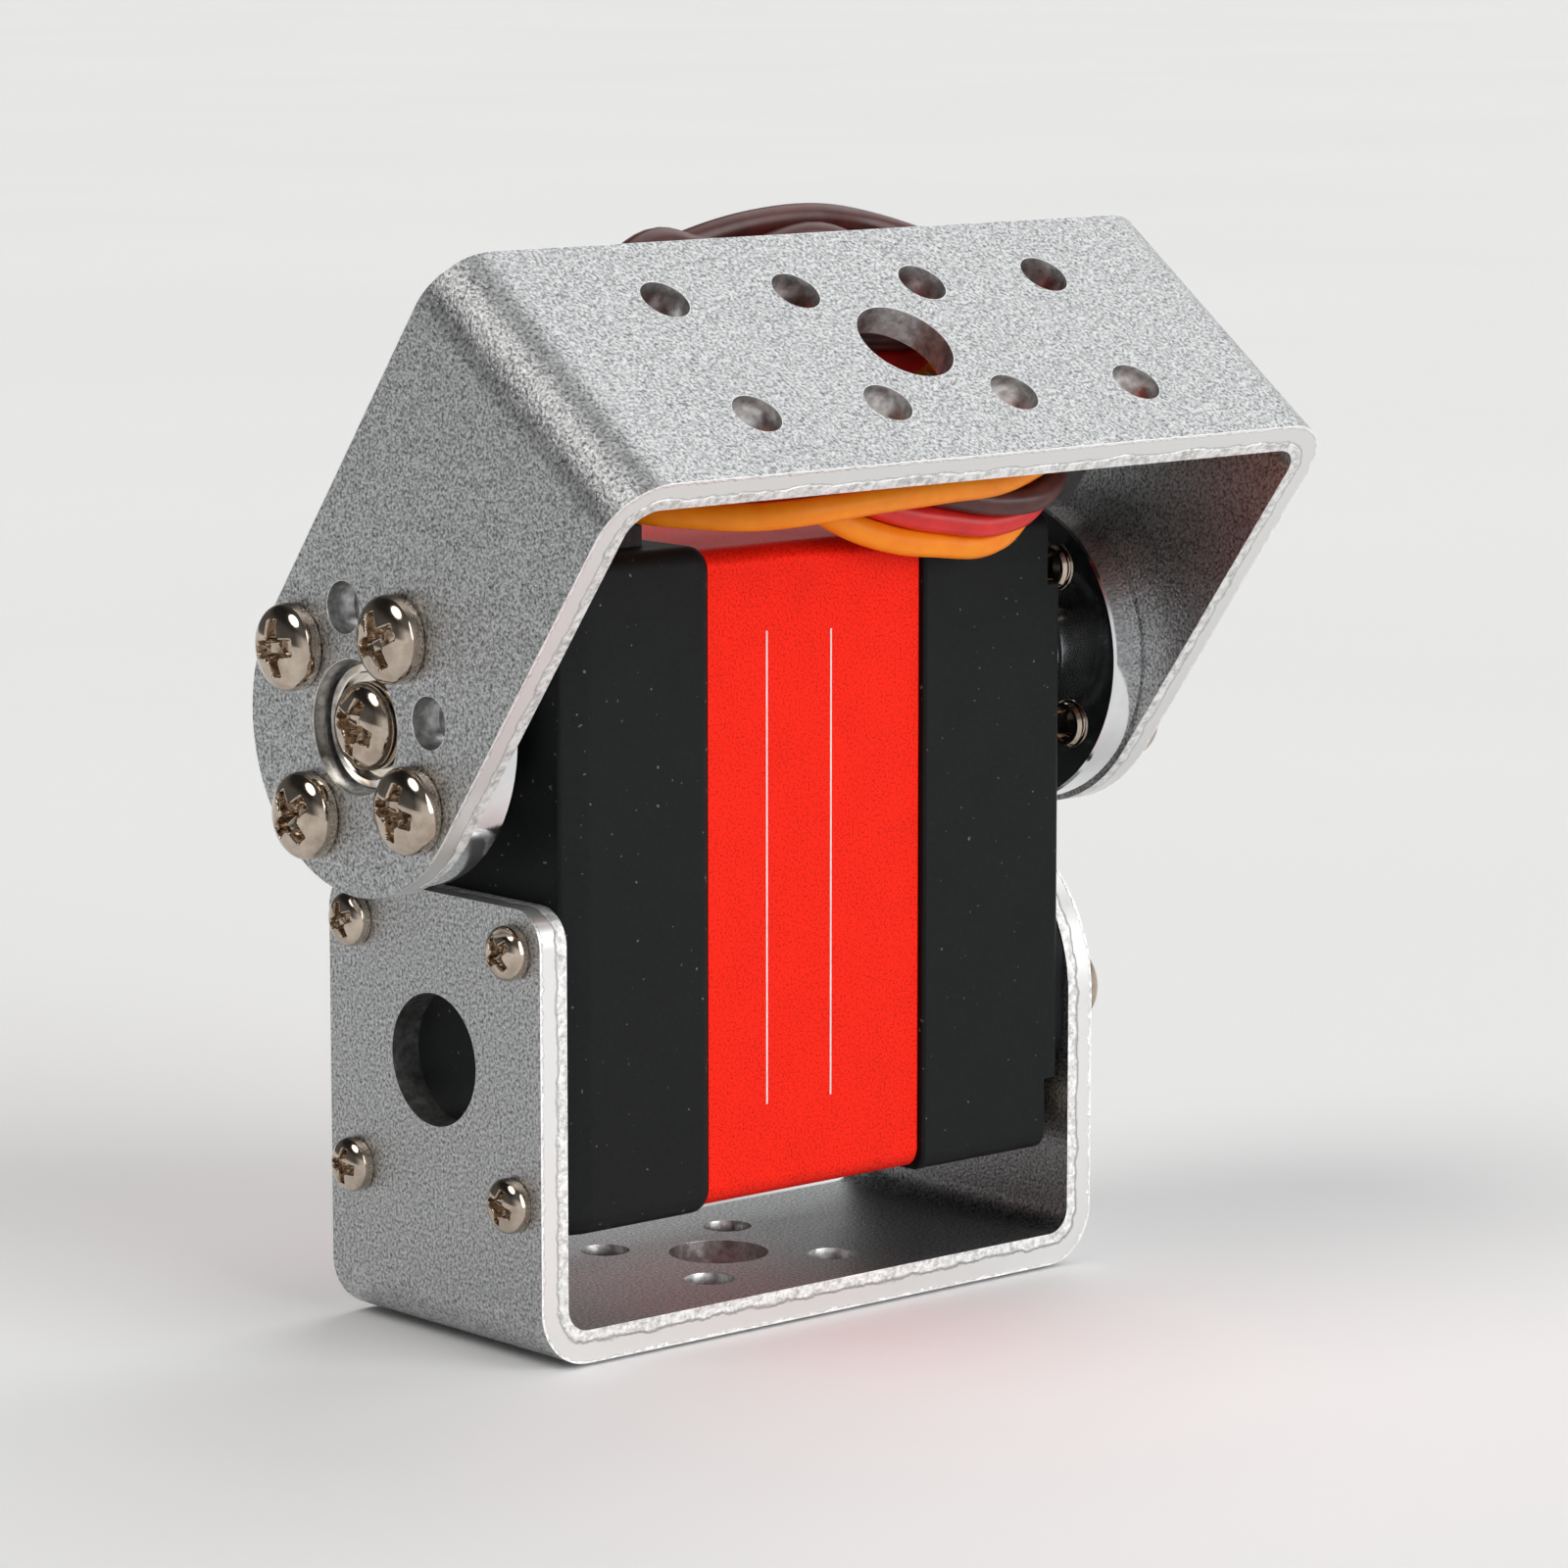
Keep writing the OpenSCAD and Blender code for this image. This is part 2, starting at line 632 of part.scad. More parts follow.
module sensor_body() {
  color("teal") difference() {
    union() {
      x_rod(4.5, sensor_x0, sensor_x0 + 5, 0, pivot_z);
      translate([sensor_x0, -5, pivot_z - 6.5]) cube([1.2, 10, 5]);
    }
    x_rod(sensor_r + 0.08, sensor_x0 + 1, sensor_x0 + 6, 0, pivot_z);
  }
}

module sensor_shaft() {
  color("white") x_rod(sensor_r, sensor_x0 + 1.2, middle_x1 + 0.8, 0, pivot_z);
}

// ---------- discs on the two shafts ----------

module output_horn() {
  x1 = horn_face_x;
  x0 = x1 - disc_t;
  color("silver") translate([0, 0, pivot_z]) difference() {
    union() {
      x_rod(disc_r, x0, x1);
      x_rod(horn_hub_r, spline_x0 - 0.1, x0 + eps);
    }
    x_rod(shaft_r, spline_x0 - 1, spline_x1 + 0.1);
    x_rod(M3[0] + 0.15, spline_x1, x1 + 1);
    x_rod(3.3, x1 - horn_recess, x1 + 1);
    rotate([tilt_rest, 0, 0])
      on_circle(disc_pcd, [0 : 90 : 270]) x_rod(M3[0] + 0.02, x0 - 1, x1 + 1);
  }
}

module horn_screws() {
  color("tan") tilted()
    translate([tilt_x1, 0, 0])
      on_circle(disc_pcd, [0 : 90 : 270]) mirror([1, 0, 0]) pan_screw(M3, 4.9);
}

module horn_center_screw() {
  color("tan")
    translate([horn_face_x - horn_recess, 0, pivot_z]) mirror([1, 0, 0]) pan_screw(M3, 7);
}

module idle_disc() {
  x0 = idle_face_x;
  x1 = x0 + disc_t;
  color("silver") translate([0, 0, pivot_z]) difference() {
    union() {
      x_rod(disc_r, x0, x1);
      x_rod(idle_hub_r, x1 - eps, bottom_case_x - 0.9);
    }
    x_rod(bush_r + 0.05, x0 - 1, bottom_case_x + 1);
    rotate([tilt_rest, 0, 0])
      on_circle(disc_pcd, [0 : 90 : 270]) x_rod(M3[0] + 0.02, x0 - 1, x1 + 3);
  }
}

module idle_bush() {
  color("gainsboro") difference() {
    union() {
      x_rod(bush_r, bush_x0, bottom_case_x - 0.6, 0, pivot_z);
      x_rod(bush_flange, bush_x0, idle_face_x - 0.05, 0, pivot_z);
    }
    x_rod(3.1, bush_x0 - 1, bush_x0 + bush_cup, 0, pivot_z);
    x_rod(M3[0] + 0.1, bush_x0 - 1, bottom_case_x, 0, pivot_z);
  }
}

module idle_screws() {
  color("tan") tilted()
    translate([tilt_x0, 0, 0])
      on_circle(disc_pcd, [0 : 90 : 270]) pan_screw(M3, 4.7);
}

module idle_center_screw() {
  color("tan") translate([bush_x0 + bush_cup, 0, pivot_z]) pan_screw(M3, 11);
}

// ---------- lead ----------

// The ribbon from point number s0 to s1 of its route
module ribbon(s0, s1) {
  steps = ceil((s1 - s0) * rings_per_span);
  rings = [for (i = [0 : steps]) lead_ring(s0 + (s1 - s0) * i / steps)];
  points = [for (ring = rings) for (p = ring) p];
  sides = [for (i = [0 : steps - 1]) for (k = [0 : 7])
    let (a = i * 8 + k, b = i * 8 + (k + 1) % 8)
    each [[a, a + 8, b], [b, a + 8, b + 8]]];
  first = [for (k = [0 : 7]) k];
  last = [for (k = [7 : -1 : 0]) steps * 8 + k];
  tilted() polyhedron(points, concat(sides, [first], [last]));
}

module lead_run() {
  color("orange") ribbon(0, run_points);
}

module lead_loops() {
  color("orange") ribbon(run_points, len(LEAD) - 1);
}

module lead_connector() {
  color([0.05, 0.05, 0.05]) tilted() translate(connector_at) rotate([0, 0, connector_turn]) difference() {
    translate(-connector / 2) cube(connector);
    for (k = [-1, 0, 1])
      translate([connector[0] / 2 - 6, k * 2.54 - 0.45, -0.45]) cube([7, 0.9, 0.9]);
  }
}

base_bracket();
base_screws_left();
base_screws_right();
bottom_case();
middle_case();
gear_case();
case_screws();
lead_grommet();
circuit_board();
motor_can();
motor_magnets();
motor_end_cap();
motor_rotor();
motor_pinion();
gear_1();
gear_2();
gear_3();
output_gear();
gear_pin_long();
gear_pin_short();
output_bearing();
sensor_body();
sensor_shaft();
output_horn();
horn_screws();
horn_center_screw();
idle_disc();
idle_bush();
idle_screws();
idle_center_screw();
tilt_bracket();
lead_run();
lead_loops();
lead_connector();
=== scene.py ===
import json
import math

import bmesh
import bpy
import numpy as np
from mathutils import Matrix, Vector


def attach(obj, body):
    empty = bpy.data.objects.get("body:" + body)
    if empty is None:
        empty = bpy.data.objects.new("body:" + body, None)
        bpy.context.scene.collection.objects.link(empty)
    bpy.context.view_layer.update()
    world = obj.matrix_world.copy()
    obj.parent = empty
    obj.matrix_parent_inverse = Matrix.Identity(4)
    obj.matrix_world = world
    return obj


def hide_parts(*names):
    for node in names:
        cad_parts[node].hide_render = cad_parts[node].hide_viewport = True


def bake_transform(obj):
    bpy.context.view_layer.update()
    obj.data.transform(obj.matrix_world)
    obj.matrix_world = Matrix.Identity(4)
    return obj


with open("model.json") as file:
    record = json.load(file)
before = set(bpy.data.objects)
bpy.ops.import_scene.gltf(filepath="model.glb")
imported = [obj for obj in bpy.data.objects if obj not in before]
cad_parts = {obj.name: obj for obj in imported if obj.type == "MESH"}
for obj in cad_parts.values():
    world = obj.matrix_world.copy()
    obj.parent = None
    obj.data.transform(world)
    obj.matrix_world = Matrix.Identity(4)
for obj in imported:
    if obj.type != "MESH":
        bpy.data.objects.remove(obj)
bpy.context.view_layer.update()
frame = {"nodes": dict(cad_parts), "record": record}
scene = bpy.context.scene
scene.view_settings.view_transform = "Standard"

# ---------------------------------------------------------------- measures, in mm, as in the CAD
MM = 0.001
SHEET = 2.0
EDGE_BREAK = 0.13
BASE_W, BASE_D, BASE_H, BASE_BEND, BASE_HOLE_Z = 44.4, 20.1, 27.2, 3.5, 17.1
TILT_W, TILT_D, TILT_REACH, TILT_BEND, TILT_X, TILT_REST = 56.5, 20.0, 27.3, 3.8, 0.5, 36.7
BASE_CORNER_R = 2.2
GRID, HOLE_R, MIDDLE_HOLE_R, EAR_HOLE_R = 10.0, 1.55, 3.1, 4.0
EAR_HOLE_ANGLES = (0, 45, 90, 180, 270, 315)
SERVO_Z0, SERVO_Z1, SERVO_Y = 7.5, 47.5, 10.0
PIVOT_Z = 37.5
CASE_X0, MIDDLE_X0, MIDDLE_X1, CASE_X1 = -20.2, -9.1, 7.9, 19.4
CASE_R = 1.2
CASE_SCREW_Y, CASE_SCREW_Z = (-7.6, 7.6), (10.1, 44.9)
LEFT_SCREWS = (-7.5, 7.5)
GROMMET_AT, GROMMET = (-13.5, -3.9, 46.0), (3.2, 6.4, 3.1)
TILT_X0, TILT_X1 = TILT_X - TILT_W / 2, TILT_X + TILT_W / 2
IDLE_X, HORN_X = TILT_X0 + SHEET, TILT_X1 - SHEET
PCD, DISC_R, DISC_T = 14.0, 9.75, 2.4
# Screws: shank radius, head radius, head height
M3, M2 = (1.45, 2.6, 1.9), (0.95, 1.65, 1.3)

TILT = (Matrix.Translation((0, 0, PIVOT_Z))
        @ Matrix.Rotation(math.radians(TILT_REST), 4, "X"))
PLATE_WAY = TILT.to_3x3() @ Vector((0, 0, 1))


# ---------------------------------------------------------------- camera, floor and light
def add_camera():
    data = bpy.data.cameras.new("camera")
    data.sensor_width = 36
    data.lens = 140.31
    data.clip_start, data.clip_end = 0.01, 100
    cam = bpy.data.objects.new("camera", data)
    scene.collection.objects.link(cam)
    cam.location = (-0.2406, -0.2799, 0.08935)
    yaw, pitch = 0.721, 0.156
    level = math.cos(pitch)
    forward = Vector((math.sin(yaw) * level, math.cos(yaw) * level, -math.sin(pitch)))
    cam.rotation_mode = "QUATERNION"
    cam.rotation_quaternion = forward.to_track_quat("-Z", "Y")
    scene.camera = cam


def soft_sun(name, source, angle, strength, tint=(1, 1, 1)):
    """A large far softbox: source is the direction that it shines from, angle its width in degrees."""
    data = bpy.data.lights.new(name, "SUN")
    data.angle = math.radians(angle)
    data.energy = strength
    data.color = tint
    o = bpy.data.objects.new(name, data)
    scene.collection.objects.link(o)
    o.rotation_mode = "QUATERNION"
    o.rotation_quaternion = (-Vector(source)).to_track_quat("-Z", "Y")


add_camera()
soft_sun("softbox_right", (0.66, 0.10, 0.75), 56, 0.98)
soft_sun("softbox_left", (-0.60, 0.02, 0.80), 34, 1.0, (1, 0.985, 0.96))
soft_sun("softbox_front", (0.25, -0.90, 0.42), 50, 1.75)


# ---------------------------------------------------------------- materials
def noise_node(nt, coord, scale, detail=2.0, rough=0.5):
    n = nt.nodes.new("ShaderNodeTexNoise")
    n.inputs["Scale"].default_value = scale
    n.inputs["Detail"].default_value = detail
    n.inputs["Roughness"].default_value = rough
    nt.links.new(coord, n.inputs["Vector"])
    return n


def ramp_node(nt, value, stops):
    r = nt.nodes.new("ShaderNodeValToRGB")
    e = r.color_ramp.elements
    while len(e) < len(stops):
        e.new(0.5)
    for el, (pos, col) in zip(e, stops):
        el.position = pos
        el.color = (*col, 1) if hasattr(col, "__len__") else (col, col, col, 1)
    nt.links.new(value, r.inputs["Fac"])
    return r


def feed(nt, socket, value):
    """Links a socket to another node's output, or sets it to a constant."""
    if hasattr(value, "links"):
        nt.links.new(value, socket)
    else:
        socket.default_value = value


def math_node(nt, op, a, b=None):
    m = nt.nodes.new("ShaderNodeMath")
    m.operation = op
    feed(nt, m.inputs[0], a)
    if b is not None:
        feed(nt, m.inputs[1], b)
    return m.outputs[0]


def square_node(nt, value):
    return math_node(nt, "MULTIPLY", value, value)


def swing_node(nt, noise, size):
    """A noise moved to run evenly to both sides of zero, size wide."""
    return math_node(nt, "MULTIPLY", math_node(nt, "SUBTRACT", noise.outputs["Fac"], 0.5), size)


def dot_node(nt, coord, direction):
    dot = nt.nodes.new("ShaderNodeVectorMath")
    dot.operation = "DOT_PRODUCT"
    nt.links.new(coord, dot.inputs[0])
    dot.inputs[1].default_value = direction
    return dot.outputs["Value"]


def mix_node(nt, blend, share, a, b):
    mix = nt.nodes.new("ShaderNodeMixRGB")
    mix.blend_type = blend
    feed(nt, mix.inputs[0], share)
    feed(nt, mix.inputs[1], a)
    feed(nt, mix.inputs[2], b)
    return mix.outputs[0]


def bump_node(nt, b, height, strength, distance):
    bump = nt.nodes.new("ShaderNodeBump")
    bump.inputs["Strength"].default_value = strength
    bump.inputs["Distance"].default_value = distance
    nt.links.new(height, bump.inputs["Height"])
    nt.links.new(bump.outputs[0], b.inputs["Normal"])


def scaled(colour, k):
    return tuple(c * k for c in colour)


def start_material(name, metallic=0.0, **sockets):
    mat = bpy.data.materials.new(name)
    mat.use_nodes = True
    nt = mat.node_tree
    nt.nodes.clear()
    out = nt.nodes.new("ShaderNodeOutputMaterial")
    b = nt.nodes.new("ShaderNodeBsdfPrincipled")
    nt.links.new(b.outputs[0], out.inputs["Surface"])
    b.inputs["Metallic"].default_value = metallic
    for k, v in sockets.items():
        b.inputs[k.replace("_", " ")].default_value = v
    coord = nt.nodes.new("ShaderNodeTexCoord").outputs["Object"]
    return mat, nt, b, coord


def surface(name, dark, light, grain, rough, bump=0.3, depth=0.00003, metallic=0.0,
            mottle=400.0, spread=(0.35, 0.65), **sockets):
    """A grained surface: colour and bump follow a fine noise, tone and roughness a coarser one."""
    mat, nt, b, coord = start_material(name, metallic, **sockets)
    fine = noise_node(nt, coord, grain, 3.0, 0.6)
    coarse = noise_node(nt, coord, mottle, 4.0, 0.55)
    colour = ramp_node(nt, fine.outputs["Fac"], [(spread[0], dark), (spread[1], light)])
    tone = ramp_node(nt, coarse.outputs["Fac"], [(0.3, 0.90), (0.7, 1.0)])
    nt.links.new(mix_node(nt, "MULTIPLY", 1.0, colour.outputs[0], tone.outputs[0]), b.inputs["Base Color"])
    r = ramp_node(nt, coarse.outputs["Fac"], [(0.25, rough[0]), (0.75, rough[1])])
    nt.links.new(r.outputs[0], b.inputs["Roughness"])
    bump_node(nt, b, fine.outputs["Fac"], bump, depth)
    return mat


def sheared_edge(name, width, bend, middle_x, inward, offset):
    """The cut edge of a U strip: smooth where the punch sheared it, torn towards the inner side, with painted
    shade where the two zones meet and a painted highlight on the burr along the outer side.
    The depth under the strip's outer side, in sheets, comes from its rounded outline: inward
    points from the plate's outer face into the U, and offset puts that face at zero."""
    mat, nt, b, coord = start_material(name, 0.85)
    sep = nt.nodes.new("ShaderNodeSeparateXYZ")
    nt.links.new(coord, sep.inputs[0])
    across = math_node(nt, "ABSOLUTE", math_node(nt, "SUBTRACT", sep.outputs[0], middle_x * MM))
    side = math_node(nt, "MAXIMUM", math_node(nt, "SUBTRACT", across, (width / 2 - bend) * MM), 0.0)
    rise = math_node(nt, "ADD", dot_node(nt, coord, inward), offset * MM)
    under = math_node(nt, "MAXIMUM", math_node(nt, "SUBTRACT", bend * MM, rise), 0.0)
    squares = math_node(nt, "ADD", square_node(nt, side), square_node(nt, under))
    inside = math_node(nt, "SUBTRACT", bend * MM, math_node(nt, "SQRT", squares))
    depth = math_node(nt, "DIVIDE", inside, SHEET * MM)

    wave = noise_node(nt, coord, 620, 3.0, 0.6)
    line = math_node(nt, "ADD", depth, swing_node(nt, wave, 0.42))
    torn = ramp_node(nt, line, [(0.60, 0.0), (0.68, 1.0)])
    # A darker line where the smooth and torn zones meet: painted shade of the step between them.
    painted_step_shade = ramp_node(nt, line, [(0.55, 1.0), (0.605, 0.62), (0.65, 1.0)])
    grit = noise_node(nt, coord, 1900, 4.0, 0.7)
    grit_colour = ramp_node(nt, grit.outputs["Fac"], [(0.34, (0.50, 0.50, 0.49)), (0.58, (0.90, 0.90, 0.89))])
    colour = mix_node(nt, "MIX", torn.outputs[0], (0.80, 0.80, 0.79, 1), grit_colour.outputs[0])
    colour = mix_node(nt, "MULTIPLY", 1.0, colour, painted_step_shade.outputs[0])
    # The burr along the outer side: its bumps are real relief, and its near-white colour is a painted
    # highlight along the edge.
    nick = noise_node(nt, coord, 2400, 2.0, 0.6)
    ragged = math_node(nt, "ADD", depth, swing_node(nt, nick, 0.30))
    burr_and_highlight = ramp_node(nt, ragged, [(0.075, 1.0), (0.10, 0.0)])
    colour = mix_node(nt, "MIX", burr_and_highlight.outputs[0], colour, (0.98, 0.98, 0.97, 1))
    nt.links.new(colour, b.inputs["Base Color"])
    rough = ramp_node(nt, torn.outputs[0], [(0.0, 0.36), (1.0, 0.60)])
    nt.links.new(rough.outputs[0], b.inputs["Roughness"])
    grain = math_node(nt, "ADD", grit.outputs["Fac"], wave.outputs["Fac"])
    relief = math_node(nt, "MULTIPLY", grain, torn.outputs[0])
    burr_relief = math_node(nt, "MULTIPLY", burr_and_highlight.outputs[0], nick.outputs["Fac"])
    bump_node(nt, b, math_node(nt, "ADD", relief, burr_relief), 0.9, 0.00014)
    return mat


def speckled(name, base, speck, grain, rough, cover, **sockets):
    """A dark moulded surface with fine pale specks in it. The nearer cover is to 1, the fewer specks."""
    mat, nt, b, coord = start_material(name, **sockets)
    dots = noise_node(nt, coord, grain, 1.0, 0.5)
    mask = ramp_node(nt, dots.outputs["Fac"], [(cover, 0.0), (cover + 0.04, 1.0)])
    fine = noise_node(nt, coord, grain * 1.3, 3.0, 0.6)
    shade = ramp_node(nt, fine.outputs["Fac"], [(0.3, scaled(base, 0.75)), (0.7, scaled(base, 1.25))])
    colour = mix_node(nt, "MIX", mask.outputs[0], shade.outputs[0], (*speck, 1))
    nt.links.new(colour, b.inputs["Base Color"])
    coarse = noise_node(nt, coord, 300, 4.0, 0.55)
    r = ramp_node(nt, coarse.outputs["Fac"], [(0.3, rough[0]), (0.7, rough[1])])
    nt.links.new(r.outputs[0], b.inputs["Roughness"])
    bump_node(nt, b, fine.outputs["Fac"], 0.25, 0.00003)
    return mat


def turned(name, colour, rough, rings=9000.0):
    """A turned metal face: fine grooves in rings around the tilt axis."""
    mat, nt, b, coord = start_material(name, 1.0)
    sep = nt.nodes.new("ShaderNodeSeparateXYZ")
    nt.links.new(coord, sep.inputs[0])
    z = math_node(nt, "SUBTRACT", sep.outputs[2], PIVOT_Z * MM)
    squares = math_node(nt, "ADD", square_node(nt, sep.outputs[1]), square_node(nt, z))
    radius = math_node(nt, "SQRT", squares)
    comb = nt.nodes.new("ShaderNodeCombineXYZ")
    nt.links.new(radius, comb.inputs[0])
    nt.links.new(sep.outputs[0], comb.inputs[1])
    groove = noise_node(nt, comb.outputs[0], rings, 3.0, 0.6)
    smear = noise_node(nt, coord, 500, 4.0, 0.6)
    tint = ramp_node(nt, smear.outputs["Fac"], [(0.3, scaled(colour, 0.9)), (0.7, colour)])
    nt.links.new(tint.outputs[0], b.inputs["Base Color"])
    r = ramp_node(nt, smear.outputs["Fac"], [(0.3, rough[0]), (0.75, rough[1])])
    nt.links.new(r.outputs[0], b.inputs["Roughness"])
    bump_node(nt, b, groove.outputs["Fac"], 0.25, 0.00001)
    return mat


MAT = {
    "blasted": surface("blasted_aluminium", (0.11, 0.115, 0.12), (0.69, 0.70, 0.705), 5000, (0.33, 0.42),
                       1.0, 0.00007, 1.0, 900, (0.30, 0.61)),
    "tilt_edge": sheared_edge("sheared_tilt_edge", TILT_W, TILT_BEND, TILT_X,
                              tuple(-PLATE_WAY), PLATE_WAY.z * PIVOT_Z + TILT_REACH),
    "base_edge": sheared_edge("sheared_base_edge", BASE_W, BASE_BEND, 0.0, (0, 0, 1), 0.0),
    # The rims of the holes: lighter than the sheet as a painted highlight, and smoother.
    "rim": surface("painted_highlight_rim", (0.80, 0.80, 0.79), (0.97, 0.97, 0.96), 4000, (0.22, 0.34),
                   0.4, 0.00003, 1.0),
    "bore": surface("drilled_bore", (0.40, 0.40, 0.40), (0.78, 0.78, 0.77), 1800, (0.28, 0.45),
                    0.5, 0.00005, 1.0),
    "black": speckled("black_case", (0.0045, 0.0055, 0.0060), (0.12, 0.13, 0.13), 2600, (0.50, 0.60),
                      0.735, Specular_IOR_Level=0.16),
    "red": surface("red_anodised", (0.62, 0.010, 0.004), (1.0, 0.022, 0.007), 6500, (0.44, 0.52),
                   0.35, 0.00003, 0.45, 300, (0.34, 0.54), Specular_IOR_Level=0.12),
    "nickel": surface("dark_nickel", (0.44, 0.36, 0.29), (0.62, 0.53, 0.44), 900, (0.06, 0.14),
                      0.05, 0.00003, 1.0, 350),
    "turned": turned("turned_aluminium", (0.80, 0.81, 0.82), (0.06, 0.13)),
    "bush": turned("polished_bush", (0.80, 0.76, 0.70), (0.10, 0.22), rings=3000.0),
    "rubber": surface("black_rubber", (0.012, 0.012, 0.012), (0.03, 0.03, 0.03), 2500, (0.5, 0.62), 0.2),
    "orange": surface("orange_insulation", (0.98, 0.25, 0.005), (1.0, 0.31, 0.008), 600, (0.34, 0.46),
                      0.08, 0.00003, 0.0, 200, Specular_IOR_Level=0.3),
    "red_wire": surface("red_insulation", (0.62, 0.012, 0.010), (0.78, 0.020, 0.016), 600, (0.30, 0.42),
                        0.08, 0.00003, 0.0, 200),
    "brown": surface("brown_insulation", (0.060, 0.016, 0.014), (0.105, 0.028, 0.024), 600, (0.28, 0.40),
                     0.08, 0.00003, 0.0, 200),
    "plug": surface("plug_plastic", (0.010, 0.010, 0.011), (0.022, 0.022, 0.023), 1500, (0.32, 0.45), 0.15),
    "board": surface("board_mask", (0.010, 0.08, 0.03), (0.03, 0.16, 0.06), 700, (0.35, 0.5), 0.15),
    "steel": surface("ground_steel", (0.42, 0.42, 0.43), (0.62, 0.62, 0.63), 1200, (0.22, 0.36),
                     0.2, 0.00002, 1.0),
    "magnet": surface("magnet_plating", (0.08, 0.08, 0.09), (0.16, 0.16, 0.17), 900, (0.35, 0.5),
                      0.2, 0.00002, 0.6),
    "cream": surface("cream_moulding", (0.62, 0.57, 0.42), (0.76, 0.71, 0.56), 500, (0.4, 0.55), 0.15),
    "copper": surface("varnished_copper", (0.45, 0.17, 0.07), (0.68, 0.30, 0.14), 900, (0.25, 0.4),
                      0.3, 0.00003, 0.9),
    "brass": surface("gear_brass", (0.52, 0.37, 0.13), (0.76, 0.56, 0.24), 900, (0.22, 0.36),
                     0.2, 0.00002, 1.0),
    "sensor": surface("sensor_moulding", (0.03, 0.12, 0.26), (0.06, 0.20, 0.38), 500, (0.35, 0.5), 0.15),
    "line": surface("printed_line", (0.72, 0.66, 0.66), (0.86, 0.82, 0.82), 2500, (0.4, 0.5), 0.1),
}

SLOT_MAT = {
    "bracket_aluminium": "blasted", "black_case": "black", "red_anodised": "red", "nickel_screw": "nickel",
    "machined_aluminium": "turned", "black_rubber": "rubber", "board_green": "board", "steel": "steel",
    "magnet_black": "magnet", "cream_plastic": "cream", "copper": "copper", "brass": "brass",
    "sensor_blue": "sensor", "lead_insulation": "orange", "connector_black": "plug",
}
slot_of = {s["node"]: s["material_slot"] for s in frame["record"]["subparts"]}
for node, o in frame["nodes"].items():
    o.data.materials.clear()
    o.data.materials.append(MAT[SLOT_MAT[slot_of[node]]])


# ---------------------------------------------------------------- surroundings
def add_floor():
    mat, nt, b, coord = start_material("studio_floor")
    n = noise_node(nt, coord, 6, 3.0)
    c = ramp_node(nt, n.outputs["Fac"], [(0.3, (0.93, 0.93, 0.93)), (0.7, (0.95, 0.95, 0.95))])
    nt.links.new(c.outputs[0], b.inputs["Base Color"])
    b.inputs["Roughness"].default_value = 0.9
    me = bpy.data.meshes.new("floor")
    s, z = 12.0, -0.0002
    me.from_pydata([(-s, -s, z), (s, -s, z), (s, s, z), (-s, s, z)], [], [(0, 1, 2, 3)])
    floor = bpy.data.objects.new("floor", me)
    scene.collection.objects.link(floor)
    me.materials.append(mat)


def add_world():
    world = bpy.data.worlds.new("studio")
    scene.world = world
    world.use_nodes = True
    nt = world.node_tree
    nt.nodes.clear()
    out = nt.nodes.new("ShaderNodeOutputWorld")
    bg = nt.nodes.new("ShaderNodeBackground")
    nt.links.new(bg.outputs[0], out.inputs["Surface"])
    coord = nt.nodes.new("ShaderNodeTexCoord").outputs["Generated"]
    sep = nt.nodes.new("ShaderNodeSeparateXYZ")
    nt.links.new(coord, sep.inputs[0])
    height = ramp_node(nt, sep.outputs[2], [(0.0, 0.86), (0.22, 0.74), (0.50, 0.16), (1.0, 0.10)])
    height.color_ramp.interpolation = "EASE"
    half = math_node(nt, "MULTIPLY", dot_node(nt, coord, (-0.66, 0.75, 0.0)), 0.5)
    side = ramp_node(nt, math_node(nt, "ADD", half, 0.5), [(0.52, 1.0), (0.80, 0.16)])
    colour = mix_node(nt, "MULTIPLY", 1.0, height.outputs[0], side.outputs[0])
    nt.links.new(colour, bg.inputs["Color"])


add_floor()
add_world()


# ---------------------------------------------------------------- mesh kit, all in mm
def make(name, verts, faces, body, slot, materials, replaces=(), face_mat=None, smooth=35, matrix=None):
    """An object from mm coordinates, put into metres and onto its body."""
    m = Matrix.Scale(MM, 4) @ (matrix if matrix is not None else Matrix.Identity(4))
    me = bpy.data.meshes.new(name)
    me.from_pydata([tuple(m @ Vector(v)) for v in verts], [], faces)
    if face_mat is not None:
        me.polygons.foreach_set("material_index", face_mat)
    return place(name, me, body, materials, replaces, smooth)


def place(name, me, body, materials, replaces=(), smooth=35):
    for k in materials:
        me.materials.append(MAT[k])
    me.polygons.foreach_set("use_smooth", [True] * len(me.polygons))
    me.set_sharp_from_angle(angle=math.radians(smooth))
    me.update()
    o = bpy.data.objects.new(name, me)
    scene.collection.objects.link(o)
    if body:
        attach(o, body)
    if replaces:
        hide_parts(*replaces)
    return o


def on_axis(axis, p, t):
    """The 3D point of an outline's point p, at t along the axis."""
    a, b = p
    return {"x": (t, a, b), "y": (a, t, b), "z": (a, b, t)}[axis]


def prism(outline, axis, lo, hi):
    """Verts and faces of an outline pushed along an axis. The outline is (y, z) for x,
    (x, z) for y and (x, y) for z."""
    n = len(outline)
    verts = [on_axis(axis, p, lo) for p in outline] + [on_axis(axis, p, hi) for p in outline]
    faces = [tuple(range(n)), tuple(range(2 * n - 1, n - 1, -1))]
    faces += [(i, i + n, (i + 1) % n + n, (i + 1) % n) for i in range(n)]
    return verts, faces


def full_turn(n):
    return [2 * math.pi * k / n for k in range(n)]


def ring2(r, a=0.0, b=0.0, n=48):
    return [(a + r * math.cos(t), b + r * math.sin(t)) for t in full_turn(n)]


